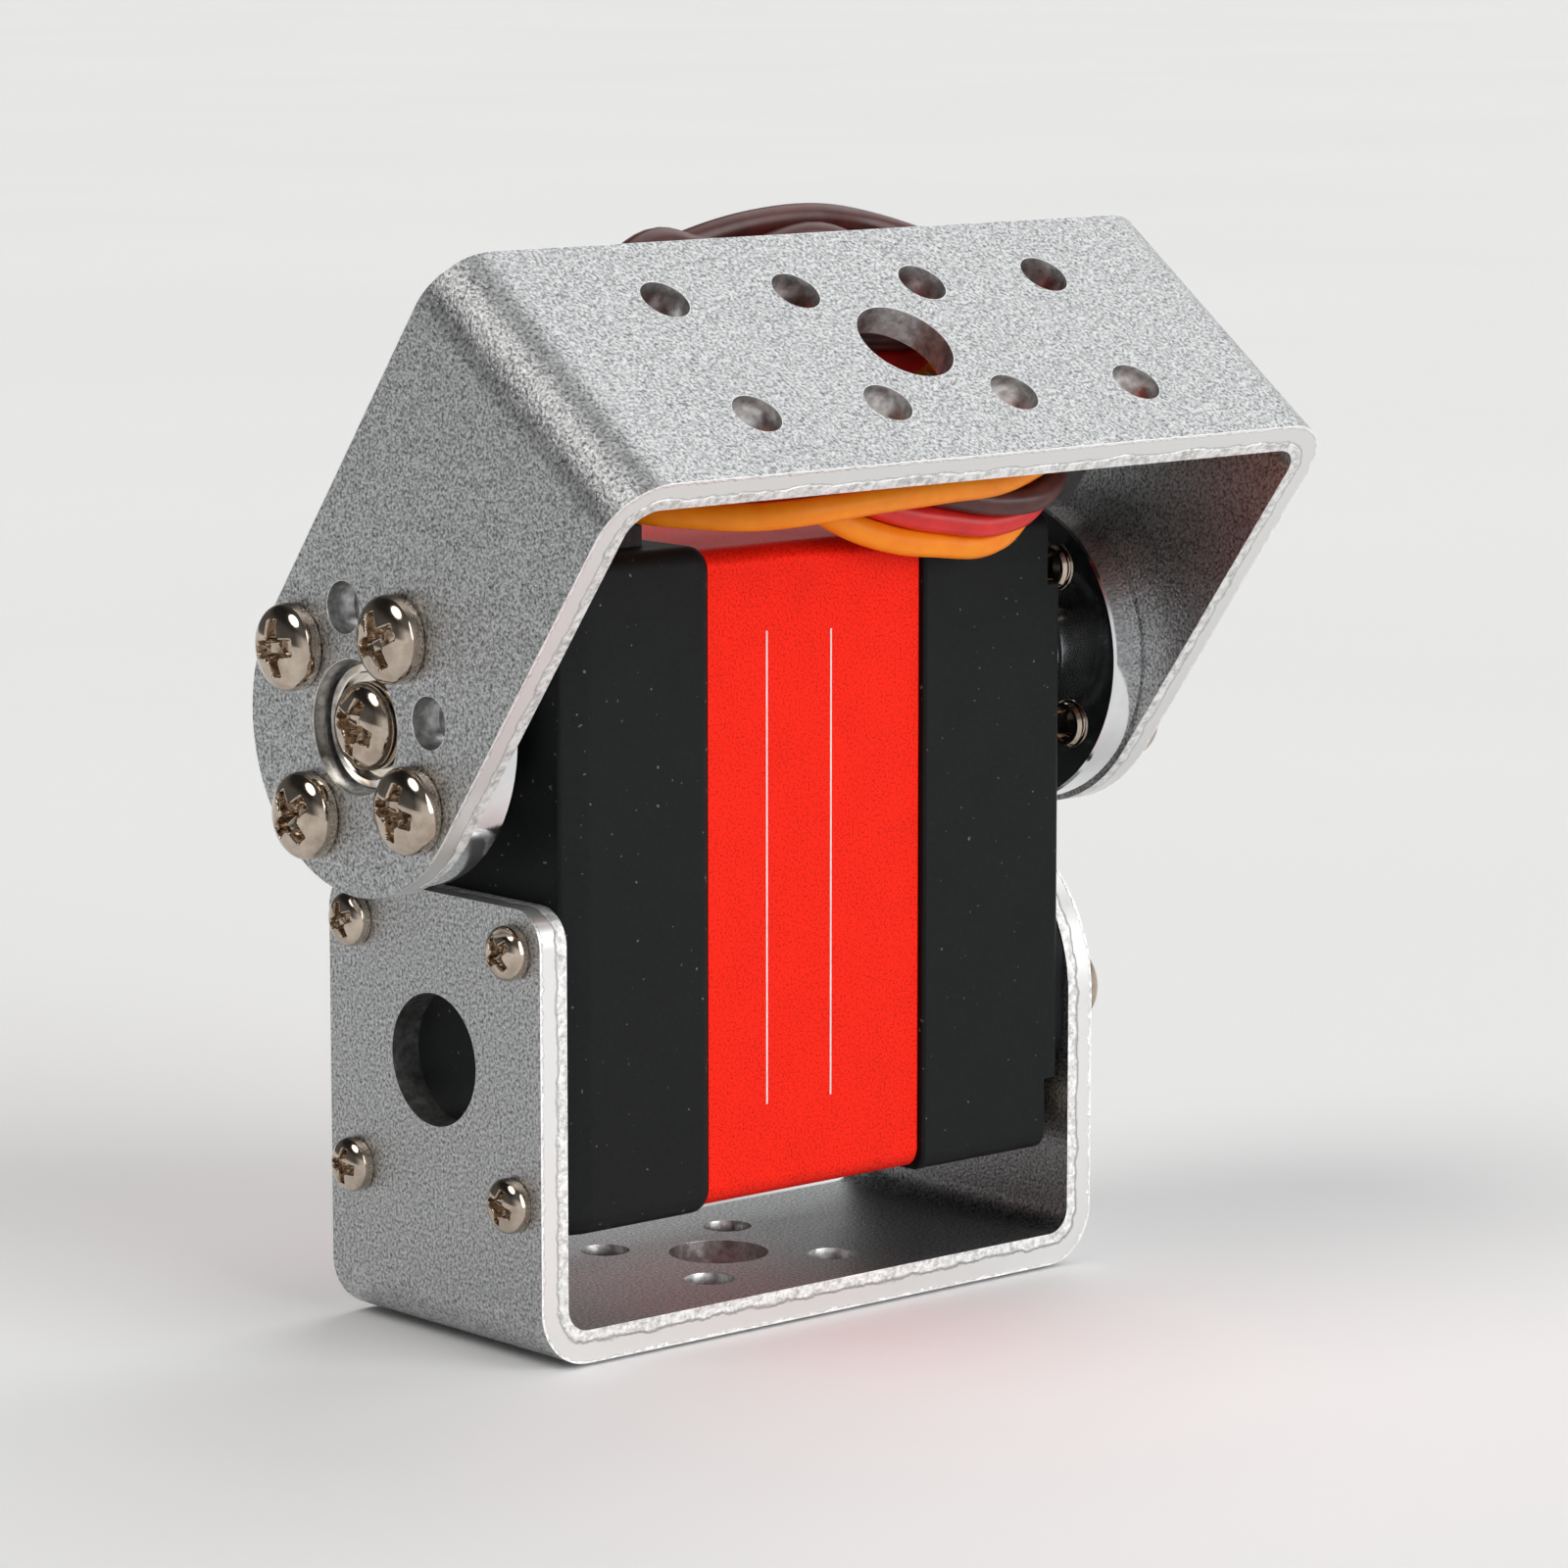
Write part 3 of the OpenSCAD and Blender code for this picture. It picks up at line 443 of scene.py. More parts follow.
def arc2(cx, cy, r, a0, a1, n):
    angles = [math.radians(a0 + (a1 - a0) * k / n) for k in range(n + 1)]
    return [(cx + r * math.cos(t), cy + r * math.sin(t)) for t in angles]


def box3(lo, hi):
    (x0, y0, z0), (x1, y1, z1) = lo, hi
    return prism([(x0, y0), (x1, y0), (x1, y1), (x0, y1)], "z", z0, z1)


def rod(r, axis, lo, hi, a=0.0, b=0.0, n=48):
    return prism(ring2(r, a, b, n), axis, lo, hi)


def joined(parts):
    verts, faces = [], []
    for v, f in parts:
        k = len(verts)
        verts += v
        faces += [tuple(i + k for i in face) for face in f]
    return verts, faces


def temp(v, f):
    """A helper object in mm, with its faces turned outwards."""
    me = bpy.data.meshes.new("temp")
    me.from_pydata(v, [], f)
    bm = bmesh.new()
    bm.from_mesh(me)
    bmesh.ops.recalc_face_normals(bm, faces=bm.faces)
    bm.to_mesh(me)
    bm.free()
    o = bpy.data.objects.new("temp", me)
    scene.collection.objects.link(o)
    return o


def drop(o):
    me = o.data
    bpy.data.objects.remove(o)
    bpy.data.meshes.remove(me)


def applied(o):
    """Swaps an object's mesh for the result of its modifiers."""
    bpy.context.view_layer.update()
    new = bpy.data.meshes.new_from_object(o.evaluated_get(bpy.context.evaluated_depsgraph_get()))
    o.modifiers.clear()
    old = o.data
    o.data = new
    bpy.data.meshes.remove(old)


def combine(o, parts, op="DIFFERENCE"):
    for v, f in parts:
        c = temp(v, f)
        m = o.modifiers.new("boolean", "BOOLEAN")
        m.operation = op
        m.solver = "EXACT"
        m.object = c
        applied(o)
        drop(c)


def bevelled(o, width, segments=2, angle=38):
    """Breaks the edges sharper than angle, after merging what the booleans left split."""
    merge = 0.0005
    bm = bmesh.new()
    bm.from_mesh(o.data)
    bmesh.ops.remove_doubles(bm, verts=bm.verts, dist=merge)
    bmesh.ops.dissolve_degenerate(bm, edges=bm.edges, dist=merge)
    bmesh.ops.dissolve_limit(bm, angle_limit=math.radians(0.5), verts=bm.verts, edges=bm.edges)
    bm.to_mesh(o.data)
    bm.free()
    m = o.modifiers.new("bevel", "BEVEL")
    m.width = width
    m.segments = segments
    m.limit_method = "ANGLE"
    m.angle_limit = math.radians(angle)
    m.use_clamp_overlap = True
    m.miter_outer = "MITER_ARC"
    m.harden_normals = False
    applied(o)


def into(o, name, body, materials, replaces=(), matrix=None, pick=None, smooth=30):
    """Turns a temporary mm object into a finished piece. pick(centre, normal) gives a face's
    material, in mm before the matrix."""
    me = o.data
    bpy.data.objects.remove(o)
    if pick is not None:
        me.polygons.foreach_set("material_index", [pick(p.center, p.normal) for p in me.polygons])
    me.transform(Matrix.Scale(MM, 4) @ (matrix if matrix is not None else Matrix.Identity(4)))
    me.name = name
    made = place(name, me, body, materials, replaces, smooth)
    w = made.modifiers.new("normals", "WEIGHTED_NORMAL")
    w.keep_sharp = True
    w.weight = 80
    return made


def loft(rings):
    n = len(rings[0])
    verts = [p for ring in rings for p in ring]
    faces = []
    for k in range(len(rings) - 1):
        a, b = k * n, (k + 1) * n
        faces += [(a + i, a + (i + 1) % n, b + (i + 1) % n, b + i) for i in range(n)]
    faces += [tuple(range(n - 1, -1, -1)), tuple(range((len(rings) - 1) * n, len(rings) * n))]
    return verts, faces


def lathe(profile, z, n):
    """A closed turned shape about X at height z: the profile's points are (x, radius)."""
    m = len(profile)
    verts = [(x, r * math.cos(t), z + r * math.sin(t)) for x, r in profile for t in full_turn(n)]
    faces = []
    for j in range(m):
        a, b = j, (j + 1) % m
        faces += [(a * n + i, b * n + i, b * n + (i + 1) % n, a * n + (i + 1) % n) for i in range(n)]
    return verts, faces


# ---------------------------------------------------------------- lead: the route of part.scad, in mm
LEAD = [
    (-13.5, 3.2, 10.8, 127), (-13.5, 4.2, 12.4, 125), (-13.4, 3.7, 14.7, 98), (-12.2, 0.6, 16.9, 58),
    (-9.4, -2.6, 19.1, 40), (-5.8, -4.0, 20.5, 37), (-1.0, -4.2, 21.1, 37), (4.2, -4.1, 21.3, 37),
    (9.6, -3.5, 21.2, 36), (15.6, -1.5, 22.6, 35), (19.4, 2.4, 22.2, 32), (20.4, 7.8, 21.4, 30),
    (18.0, 12.8, 19.9, 32), (13.4, 15.9, 19.9, 36), (8.8, 16.6, 20.4, 37), (3.8, 16.6, 20.1, 37),
    (-0.8, 16.2, 19.2, 36), (-6.2, 15.6, 17.2, 34), (-12.2, 13.4, 16.4, 32), (-17.0, 9.0, 16.6, 30),
    (-19.0, 3.6, 17.6, 30), (-18.2, -1.4, 20.0, 33), (-15.6, -1.4, 22.0, 36), (-12.0, 1.4, 22.4, 37),
    (-8.6, 3.2, 21.9, 37), (-5.4, 2.6, 20.4, 37), (-3.0, 0.4, 18.3, 44), (0.2, -1.7, 17.0, 42),
    (3.6, -3.1, 16.4, 26), (7.0, -4.0, 16.2, 8), (10.1, -4.6, 16.2, 0), (13.0, -4.3, 16.8, -16),
    (15.2, -2.1, 17.4, -18), (15.6, 2.8, 19.5, 0), (14.2, 7.8, 19.8, 20), (11.0, 12.4, 19.9, 34),
    (7.0, 14.2, 21.0, 37), (2.0, 13.9, 20.2, 37), (-2.6, 14.0, 20.6, 36), (-6.4, 14.0, 21.4, 36),
    (-10.4, 12.0, 20.4, 34), (-12.4, 8.8, 20.4, 32), (-10.2, 6.0, 20.8, 33), (-5.6, 5.8, 21.2, 30),
    (-0.6, 5.6, 21.2, 24), (4.6, 5.2, 20.9, 16), (9.0, 5.6, 20.8, 12), (10.8, 8.3, 20.8, 14),
    (8.6, 10.9, 21.2, 14), (4.2, 11.3, 22.0, 14), (-0.2, 11.1, 22.0, 14), (-3.6, 10.5, 20.8, 16),
    (-5.6, 9.6, 18.2, 34), (-4.6, 9.6, 16.1, 58), (-1.8, 10.2, 15.1, 78), (1.6, 11.1, 14.9, 90),
    (5.2, 11.2, 14.9, 90), (8.0, 10.2, 14.9, 90), (10.4, 8.9, 14.9, 90),
]
RUN_POINTS = 8
WIRE_D = 1.7
CONNECTOR_AT, CONNECTOR, CONNECTOR_TURN = (16.57, 5.59, 14.9), (14.0, 7.6, 2.6), -28.6
PIN_PITCH = 2.54


def lead_at(s):
    k = min(int(s), len(LEAD) - 2)
    a, b, c, d = (np.array(LEAD[max(0, min(len(LEAD) - 1, i))], float) for i in (k - 1, k, k + 1, k + 2))
    t = s - k
    squared = 2 * a - 5 * b + 4 * c - d
    cubed = 3 * b - a - 3 * c + d
    return 0.5 * (2 * b + (c - a) * t + squared * t * t + cubed * t ** 3)


def lead_frame(s):
    p = lead_at(s)
    way = lead_at(min(s + 0.05, len(LEAD) - 1))[:3] - lead_at(max(s - 0.05, 0))[:3]
    way /= np.linalg.norm(way)
    turn = math.radians(p[3])
    across = np.array([0, math.sin(turn), math.cos(turn)])
    thick = np.cross(way, across)
    thick /= np.linalg.norm(thick)
    return p[:3], np.cross(thick, way), thick


def wires(s0, s1, per_span=7, sides=14):
    """Three round conductors side by side; returns verts, faces, each face's colour, and the middle line."""
    steps = int(round((s1 - s0) * per_span))
    frames = [lead_frame(s0 + (s1 - s0) * i / steps) for i in range(steps + 1)]
    turns = full_turn(sides)
    verts, faces, colour = [], [], []
    for w, side in enumerate((-1, 0, 1)):
        rings = []
        for p, wide, thick in frames:
            c = p + wide * side * WIRE_D
            rings.append([tuple(c + (wide * math.cos(a) + thick * math.sin(a)) * WIRE_D / 2) for a in turns])
        v, f = loft(rings)
        k = len(verts)
        verts += v
        faces += [tuple(i + k for i in face) for face in f]
        colour += [w] * len(f)
    return verts, faces, colour, [tuple(TILT @ Vector(p) * MM) for p, _, _ in frames]


WIRE_MATERIALS = ["orange", "red_wire", "brown"]
v, f, c, run_path = wires(0, RUN_POINTS)
lead_run = make("lead_run_wires", v, f, None, "lead_insulation", WIRE_MATERIALS,
                ["lead_run"], c, 60, TILT)
v, f, c, loop_path = wires(RUN_POINTS, len(LEAD) - 1)
lead_loops = make("lead_loop_wires", v, f, "tilt", "lead_insulation", WIRE_MATERIALS,
                  ["lead_loops"], c, 60, TILT)


def build_connector():
    lx, ly, lz = (c / 2 for c in CONNECTOR)
    turn = Matrix.Rotation(math.radians(CONNECTOR_TURN), 4, "Z")
    o = temp(*box3((-lx, -ly, -lz), (lx, ly, lz)))
    cuts = []
    for k in (-1, 0, 1):
        y = k * PIN_PITCH
        cuts.append(box3((lx - 6, y - 0.45, -0.45), (lx + 1, y + 0.45, 0.45)))
        cuts.append(box3((-1.6, y - 0.75, lz - 0.35), (1.2, y + 0.75, lz + 1)))
        cuts.append(box3((-lx - 1, y - 0.8, -0.8), (-lx + 0.5, y + 0.8, 0.8)))
    for k in (-0.5, 0.5):
        y = k * PIN_PITCH
        cuts.append(box3((-lx - 1, y - 0.12, lz - 0.2), (lx + 1, y + 0.12, lz + 1)))
    combine(o, cuts)
    bevelled(o, 0.12)
    at = TILT @ Matrix.Translation(CONNECTOR_AT) @ turn
    return into(o, "lead_plug", "tilt", ["plug"], ["lead_connector"], at)


plug = build_connector()
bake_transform(lead_run)


# ---------------------------------------------------------------- brackets
# A bracket's materials, and what each of its faces gets
SHEET_LOOK, EDGE_LOOK, BORE_LOOK, HIGHLIGHT_RIM_LOOK = range(4)


def u_outline(w, h, bend, seg=14):
    left, right, inner = -w / 2, w / 2, bend - SHEET
    outside = arc2(left + bend, bend, bend, 180, 270, seg) + arc2(right - bend, bend, bend, 270, 360, seg)
    inside = arc2(right - bend, bend, inner, 360, 270, seg) + arc2(left + bend, bend, inner, 270, 180, seg)
    return [(left, h)] + outside + [(right, h), (right - SHEET, h)] + inside + [(left + SHEET, h)]


def ear_span(width, side):
    """From just inside to just outside the left (-1) or right (1) ear of a U, along X."""
    near, far = width / 2 - SHEET - 1, width / 2 + 1
    return (near, far) if side > 0 else (-far, -near)


def round_end(r, z, top):
    """What is cut off an ear to round its end, an outline in (y, z)."""
    pts = [(a, z + b) for a, b in arc2(0, 0, r, 0, 180, 40)]
    return [(r + 2, z)] + pts + [(-r - 2, z), (-r - 2, top), (r + 2, top)]


def on_round_end(c, n, r, z):
    return abs(n.x) < 0.5 and abs(math.hypot(c.y, c.z - z) - r) < 0.08


def bracket_look(c, n, half_depth, bores):
    """A face's look: cut edge at the front and back, drilled wall at a hole, or the hole's rim in a lighter
    colour that is a painted highlight.
    """
    if abs(n.y) > 0.3 and abs(abs(c.y) - half_depth) < EDGE_BREAK + 0.01:
        return EDGE_LOOK
    for axis, a, b, r in bores:
        p = (c.y, c.z) if axis == "x" else (c.x, c.y)
        flat = abs(n.x if axis == "x" else n.z)
        if flat < 0.97 and abs(math.hypot(p[0] - a, p[1] - b) - r) < EDGE_BREAK + 0.03:
            return BORE_LOOK if flat < 0.2 else HIGHLIGHT_RIM_LOOK
    return SHEET_LOOK


def drilled_plate(places):
    """The bores and their cuts in a plate, with the larger hole in the middle."""
    bores = [("z", x, y, HOLE_R) for x, y in places] + [("z", 0, 0, MIDDLE_HOLE_R)]
    cuts = [rod(r, "z", -1, SHEET + 1, x, y, 40 if r == HOLE_R else 56) for _, x, y, r in bores]
    return bores, cuts


def build_tilt_bracket():
    # The strip's own frame: X along the axis, Z from the plate's outer face to the ears' ends
    half, ear = TILT_D / 2, TILT_REACH
    o = temp(*prism(u_outline(TILT_W, ear + half, TILT_BEND), "y", -half, half))
    bores, cuts = drilled_plate([(i * GRID, j * GRID / 2) for i in (-1.5, -0.5, 0.5, 1.5) for j in (-1, 1)])
    for side in (-1, 1):
        lo, hi = ear_span(TILT_W, side)
        cuts.append(prism(ring2(EAR_HOLE_R, 0, ear, 64), "x", lo, hi))
        for a in EAR_HOLE_ANGLES:
            y, z = PCD / 2 * math.sin(math.radians(a)), ear - PCD / 2 * math.cos(math.radians(a))
            cuts.append(prism(ring2(HOLE_R, -y, z, 40), "x", lo, hi))
            bores.append(("x", -y, z, HOLE_R))
        cuts.append(prism(round_end(half, ear, ear + TILT_D), "x", lo, hi))
    bores.append(("x", 0, ear, EAR_HOLE_R))
    combine(o, cuts)
    bevelled(o, EDGE_BREAK)

    def look(c, n):
        if c.z > ear and on_round_end(c, n, half, ear):
            return EDGE_LOOK
        return bracket_look(c, n, half, bores)

    flip = TILT @ Matrix.Translation((TILT_X, 0, TILT_REACH)) @ Matrix.Rotation(math.pi, 4, "X")
    return into(o, "tilt_bracket_sheet", "tilt",
                ["blasted", "tilt_edge", "bore", "rim"], ["tilt_bracket"], flip, look)


def build_base_bracket():
    half, r = BASE_D / 2, BASE_CORNER_R
    o = temp(*prism(u_outline(BASE_W, BASE_H, BASE_BEND), "y", -half, half))
    bores, cuts = drilled_plate([(i * GRID / 2, j * GRID / 2) for i in (-1, 1) for j in (-1, 1)])
    left, right = ear_span(BASE_W, -1), ear_span(BASE_W, 1)
    for span in (left, right):
        cuts.append(prism(ring2(EAR_HOLE_R, 0, BASE_HOLE_Z, 64), "x", *span))
    bores.append(("x", 0, BASE_HOLE_Z, EAR_HOLE_R))
    for y in LEFT_SCREWS:
        for z in LEFT_SCREWS:
            cuts.append(prism(ring2(M2[0] + 0.1, y, BASE_HOLE_Z + z, 32), "x", *left))
    for a in (0, 90, 180, 270):
        y, z = PCD / 2 * math.sin(math.radians(a)), PCD / 2 * math.cos(math.radians(a))
        cuts.append(prism(ring2(M3[0] + 0.1, y, BASE_HOLE_Z + z, 32), "x", *right))
    cuts.append(prism(round_end(half, BASE_HOLE_Z, BASE_H + 2), "x", *right))
    for s in (-1, 1):
        arc = [(s * y, z) for y, z in arc2(half - r, BASE_H - r, r, 0, 90, 12)]
        above = [(s * (half - r), BASE_H + 1), (s * (half + 1), BASE_H + 1)]
        cuts.append(prism([(s * (half + 1), BASE_H - r)] + arc + above, "x", *left))
    combine(o, cuts)
    bevelled(o, EDGE_BREAK)

    def look(c, n):
        if c.x > 0 and c.z > BASE_HOLE_Z and on_round_end(c, n, half, BASE_HOLE_Z):
            return EDGE_LOOK
        if c.x < -BASE_W / 2 + SHEET and c.z > BASE_H - r and abs(n.x) < 0.5:
            return EDGE_LOOK
        return bracket_look(c, n, half, bores)

    return into(o, "base_bracket_sheet", "base",
                ["blasted", "base_edge", "bore", "rim"], ["base_bracket"], None, look)


build_tilt_bracket()
build_base_bracket()


# ---------------------------------------------------------------- screws
def eased(t):
    """0 to 1 with soft ends."""
    t = min(1.0, max(0.0, t))
    return t * t * (3 - 2 * t)


def recess_depth(y, z, r, h):
    """How deep a worn cross recess is at a point of a pan head of radius r and height h."""
    u, w = abs(y) / r, abs(z) / r
    deep = 0.0
    for a, b in ((u, w), (w, u)):
        if a > 0.70:
            continue
        half = 0.185 - 0.060 * a
        side = eased((half + 0.045 - b) / 0.09)
        end = eased((0.66 - a) / 0.07)
        deep = max(deep, side * end * (0.80 - 0.62 * a))
    core = eased((0.36 - math.hypot(u, w)) / 0.12)
    return max(deep, core * 0.80) * h * 0.92


def screw(size, length, turn=0.0, hollow=False, n=144, pitch=0.5):
    """A pan head screw along +X with its seat at X = 0: verts and faces, in mm."""
    shank, r, h = size
    angles = full_turn(n)

    def ring(x, rad):
        return [(x, rad * math.cos(a), rad * math.sin(a)) for a in angles]

    # The dome with its recess, from the middle out
    rows, steps = [], 46
    for k in range(1, steps + 1):
        q = (k / steps) ** 0.85
        top = h * (0.36 + 0.64 * math.sqrt(max(0.0, 1 - q ** 2.2)))
        row = []
        for _, y, z in ring(0, r * q):
            along = y * math.cos(turn) + z * math.sin(turn)
            across = -y * math.sin(turn) + z * math.cos(turn)
            row.append((-(top - recess_depth(along, across, r, h)), y, z))
        rows.append(row)
    rim = [(-h * 0.30, r), (-h * 0.12, r), (-h * 0.04, r * 0.985), (0.0, r * 0.95)]
    thread, x = [(0.0, shank)], 0.05
    while x < length - 0.5:
        thread += [(x, shank), (x + pitch * 0.5, shank * 0.86)]
        x += pitch
    thread += [(length - 0.25, shank), (length, shank * 0.90)]
    if hollow:
        thread += [(length, shank * 0.74), (length - 0.7, shank * 0.62)]
    rows += [ring(x, rad) for x, rad in rim + thread]
    verts = [(-(h - recess_depth(0, 0, r, h)), 0, 0)] + [p for row in rows for p in row]
    faces = [(0, 1 + (i + 1) % n, 1 + i) for i in range(n)]
    for k in range(len(rows) - 1):
        a, b = 1 + k * n, 1 + (k + 1) * n
        faces += [(a + i, a + (i + 1) % n, b + (i + 1) % n, b + i) for i in range(n)]
    last = 1 + (len(rows) - 1) * n
    faces.append(tuple(last + i for i in range(n)))
    return verts, faces


def screws(name, nodes, body, places, size, length, turns, flip=False, matrix=None, hollow=False,
           slot="nickel_screw"):
    """A group of equal screws: where each seat is, and how far each recess is turned, in radians."""
    parts = []
    for (x, y, z), turn in zip(places, turns):
        v, f = screw(size, length, turn, hollow)
        if flip:
            v = [(-a, b, c) for a, b, c in v]
            f = [tuple(reversed(face)) for face in f]
        parts.append(([(x + a, y + b, z + c) for a, b, c in v], f))
    v, f = joined(parts)
    return make(name, v, f, body, slot, ["nickel"], nodes, None, 50, matrix)


def circle_places(x, z=0.0):
    """The four screw places on the bolt circle around height z."""
    places = []
    for degrees in (0, 90, 180, 270):
        a = math.radians(degrees)
        places.append((x, -PCD / 2 * math.sin(a), z + PCD / 2 * math.cos(a)))
    return places


def square_places(x, ys, zs):
    return [(x, y, z) for y in ys for z in zs]


screws("idle_screw_set", ["idle_screws"], "tilt", circle_places(TILT_X0), M3, 4.7,
       (0.5, 1.15, 0.25, 0.8), matrix=TILT)
screws("horn_screw_set", ["horn_screws"], "tilt", circle_places(TILT_X1), M3, 4.9,
       (0.3, 0.9, 1.3, 0.6), flip=True, matrix=TILT, hollow=True)
screws("idle_middle_screw", ["idle_center_screw"], "base", [(TILT_X0 + 1.5, 0, PIVOT_Z)], M3, 11, (0.35,))
screws("horn_middle_screw", ["horn_center_screw"], "tilt", [(HORN_X - 1, 0, PIVOT_Z)], M3, 7, (0.2,),
       flip=True)
screws("base_left_screw_set", ["base_screws_left"], "base",
       square_places(-BASE_W / 2, LEFT_SCREWS, [BASE_HOLE_Z + z for z in LEFT_SCREWS]), M2, 3.9,
       (0.3, 0.9, 0.15, 1.2))
screws("base_right_screw_set", ["base_screws_right"], "base", circle_places(BASE_W / 2, BASE_HOLE_Z), M3, 4,
       (0.2, 1.0, 0.5, 0.7), flip=True)
screws("case_screw_set", ["case_screws"], "base", square_places(CASE_X1 - 1.2, CASE_SCREW_Y, CASE_SCREW_Z),
       (M2[0], M2[1], 1.1), 34, (0.4, 0.1, 1.0, 0.7), flip=True, slot="steel")


# ---------------------------------------------------------------- servo case
def case_ring(x, inset_y, inset_z, r, seg=8):
    hy, z0, z1 = SERVO_Y - inset_y, SERVO_Z0 + inset_z, SERVO_Z1 - inset_z
    corners = ((hy - r, z1 - r, 0), (-hy + r, z1 - r, 90), (-hy + r, z0 + r, 180), (hy - r, z0 + r, 270))
    pts = []
    for cy, cz, a in corners:
        for k in range(seg + 1):
            t = math.radians(a + 90 * k / seg)
            pts.append((x, cy + r * math.cos(t), cz + r * math.sin(t)))
    return pts


def case_loft(sections):
    """A case through sections of (x, how far the sides and the ends are drawn in, corner radius)."""
    return loft([case_ring(*s) for s in sections])


def build_bottom_case():
    x0, x1 = CASE_X0, MIDDLE_X0
    gx, gy, gz = GROMMET_AT
    lx, ly, _ = GROMMET
    sections = [(x0, 0.75, 0.22, 1.0), (x0 + 0.08, 0.65, 0.10, 1.1), (x0 + 0.22, 0.55, 0.0, CASE_R),
                (x0 + 1.7, 0.04, 0.0, CASE_R), (x0 + 2.0, 0.0, 0.0, CASE_R)]
    for degrees in (0, 22.5, 45, 67.5, 90):
        a = math.radians(degrees)
        inset = 0.45 * (1 - math.cos(a))
        sections.append((x1 - 1.0 + math.sin(a), inset, inset, CASE_R))
    o = temp(*case_loft(sections))
    cuts = [box3((gx - lx / 2, gy - ly / 2, gz), (gx + lx / 2, gy + ly / 2, gz + 4))]
    for y in LEFT_SCREWS:
        for z in LEFT_SCREWS:
            cuts.append(rod(M2[0] + 0.05, "x", x0 - 1, x0 + 2.8, y, BASE_HOLE_Z + z, 28))
    cuts.append(rod(M3[0] + 0.05, "x", x0 - 1, x0 + 7, 0, PIVOT_Z, 32))
    combine(o, [rod(4.0, "x", x0 - 0.6, x0 + 0.5, 0, PIVOT_Z, 64)], "UNION")
    combine(o, cuts)
    return into(o, "bottom_case_shell", "base", ["black"], ["bottom_case"])


def build_middle_case():
    x0, x1 = MIDDLE_X0, MIDDLE_X1
    o = temp(*case_loft([(x0, 0.3, 0.3, CASE_R), (x0 + 5, 0.3, 0.3, CASE_R), (x1 - 0.25, 0.3, 0.3, CASE_R),
                         (x1 - 0.1, 0.38, 0.38, CASE_R), (x1, 0.5, 0.5, 1.1)]))
    return into(o, "middle_case_shell", "base", ["red"], ["middle_case"])


def build_gear_case():
    x0, x1 = MIDDLE_X1, CASE_X1
    o = temp(*case_loft([(x0, 0.32, 0.32, 1.1), (x0 + 0.08, 0.12, 0.12, 1.15), (x0 + 0.25, 0.0, 0.0, CASE_R),
                         (x1 - 0.45, 0.0, 0.0, CASE_R), (x1 - 0.25, 0.06, 0.06, 1.15),
                         (x1 - 0.08, 0.2, 0.2, 1.1), (x1, 0.4, 0.4, 0.9)]))
    # A round pad for the base bracket's ear, cut straight at the case's sides and end
    pad = [(max(-9.6, min(9.6, y)), max(SERVO_Z0 + 0.4, z)) for y, z in ring2(9.95, 0, BASE_HOLE_Z, 72)]
    seat = rod(6.2, "x", x1 - 1, x1 + 0.9, 0, PIVOT_Z, 64)
    combine(o, [prism(pad, "x", x1 - 1, x1 + 0.8), seat], "UNION")
    cuts = [rod(5.0, "x", x1 - 2, x1 + 2, 0, PIVOT_Z, 64)]
    for y_span in ((-11, -4.4), (4.4, 11)):
        for z_span in ((SERVO_Z0 - 1, SERVO_Z0 + 4.5), (SERVO_Z1 - 4.5, SERVO_Z1 + 1)):
            (y0, y1), (z0, z1) = y_span, z_span
            cuts.append(box3((x1 - 1.2, y0, z0), (x1 + 3, y1, z1)))
    for a in (0, 90, 180, 270):
        y, z = PCD / 2 * math.sin(math.radians(a)), PCD / 2 * math.cos(math.radians(a))
        cuts.append(rod(M3[0] + 0.05, "x", x1 - 1.3, x1 + 2, y, BASE_HOLE_Z + z, 28))
    for y in CASE_SCREW_Y:
        for z in CASE_SCREW_Z:
            cuts.append(rod(M2[0] + 0.1, "x", x1 - 6, x1 + 2, y, z, 24))
    combine(o, cuts)
    return into(o, "gear_case_shell", "base", ["black"], ["gear_case"])


def build_grommet():
    x, y, z0 = GROMMET_AT
    lx, ly, lz = GROMMET
    chamfer, wall = 0.3, 0.45
    corners = ((-1, -1), (1, -1), (1, 1), (-1, 1))
    rings = []
    for z, inset in ((0, 0), (lz - 0.4, 0), (lz, chamfer)):
        hx, hy = lx / 2 - inset, ly / 2 - inset
        rings.append([(x + a * hx, y + b * hy, z0 + z) for a, b in corners])
    o = temp(*loft(rings))
    hole_x, hole_y = 1.0, ly / 2 - wall
    combine(o, [box3((x - hole_x, y - hole_y, z0 - 1), (x + hole_x, y + hole_y, z0 + 4))])
    bevelled(o, 0.18, 3)
    return into(o, "grommet_block", "base", ["rubber"], ["lead_grommet"])


build_bottom_case()
build_middle_case()
build_gear_case()
build_grommet()

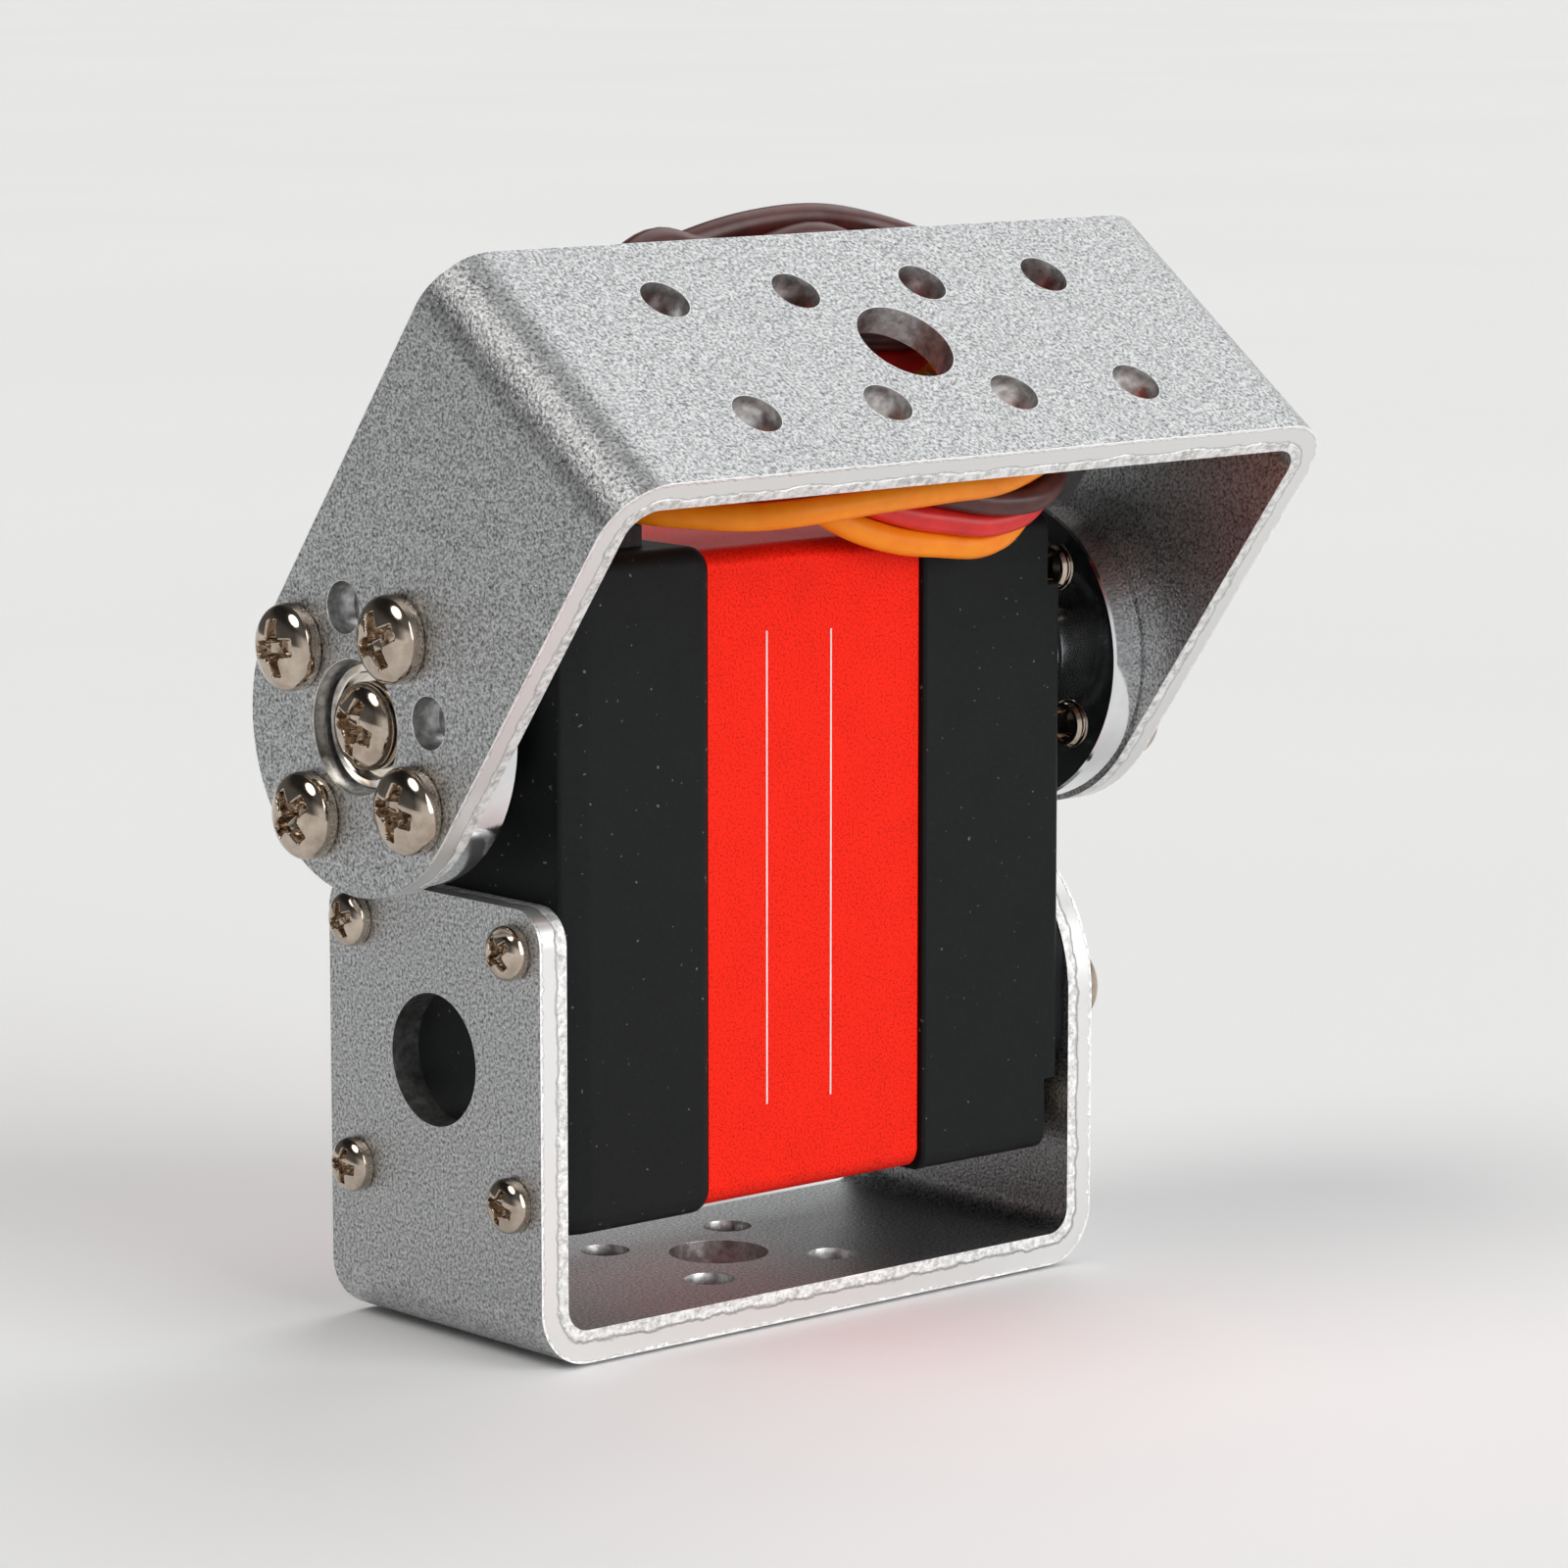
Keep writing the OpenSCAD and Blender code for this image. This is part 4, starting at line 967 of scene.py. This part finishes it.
# Two thin printed lines down the servo's front, as (x, bottom, top)
FRONT_LINES = ((-4.5, 13.5, 42.1), (0.6, 13.4, 41.8))
for k, (x, z0, z1) in enumerate(FRONT_LINES, 1):
    make(f"front_line_{k}", *box3((x - 0.06, -9.712, z0), (x + 0.06, -9.69, z1)), "base", None, ["line"])


# ---------------------------------------------------------------- discs
def turned_piece(profile, screw_span, name, nodes):
    """A turned disc on the tilting bracket, with the four holes of the bolt circle through it."""
    o = temp(*lathe(profile, 0, 112))
    combine(o, [rod(1.5, "x", *screw_span, y, z, 28) for _, y, z in circle_places(0)])
    bevelled(o, 0.1, 2, 50)
    return into(o, name, "tilt", ["turned"], nodes, TILT)


def build_discs():
    # Each profile's points are (x, radius)
    x0, x1, hub = HORN_X - DISC_T, HORN_X, CASE_X1 + 1.2
    r, c = DISC_R, 0.15
    horn = [(hub, 3.0), (hub, 4.5), (hub + 0.2, 4.7), (x0 - c, 4.7), (x0, 4.9), (x0, r - c), (x0 + c, r),
            (x1 - c, r), (x1, r - c), (x1, 3.4), (x1 - 0.1, 3.3), (x1 - 1, 3.3), (x1 - 1, 1.7),
            (x1 - 2, 1.7), (x1 - 2, 3.0)]
    turned_piece(horn, (x0 - 1, x1 + 1), "horn_disc", ["output_horn"])

    x0, x1, inner = IDLE_X, IDLE_X + DISC_T, CASE_X0 - 0.9
    idle = [(x0, 2.95), (x0, r - c), (x0 + c, r), (x1 - c, r), (x1, r - c), (x1, 7.0), (x1 + c, 6.8),
            (inner - c, 6.8), (inner, 6.6), (inner, 2.95)]
    turned_piece(idle, (x0 - 1, x1 + 3), "idle_disc_turned", ["idle_disc"])

    b0, b1, end = TILT_X0 + 1, IDLE_X - 0.05, CASE_X0 - 0.6
    bush = [(b0, 3.2), (b0, 3.6), (b0 + 0.1, 3.7), (b1, 3.7), (b1, 2.9), (end, 2.9), (end, 1.55),
            (b0 + 0.5, 1.55), (b0 + 0.5, 3.05), (b0 + 0.08, 3.1)]
    v, f = lathe(bush, PIVOT_Z, 96)
    make("idle_bush_turned", v, f, "base", "machined_aluminium", ["bush"], ["idle_bush"])


build_discs()
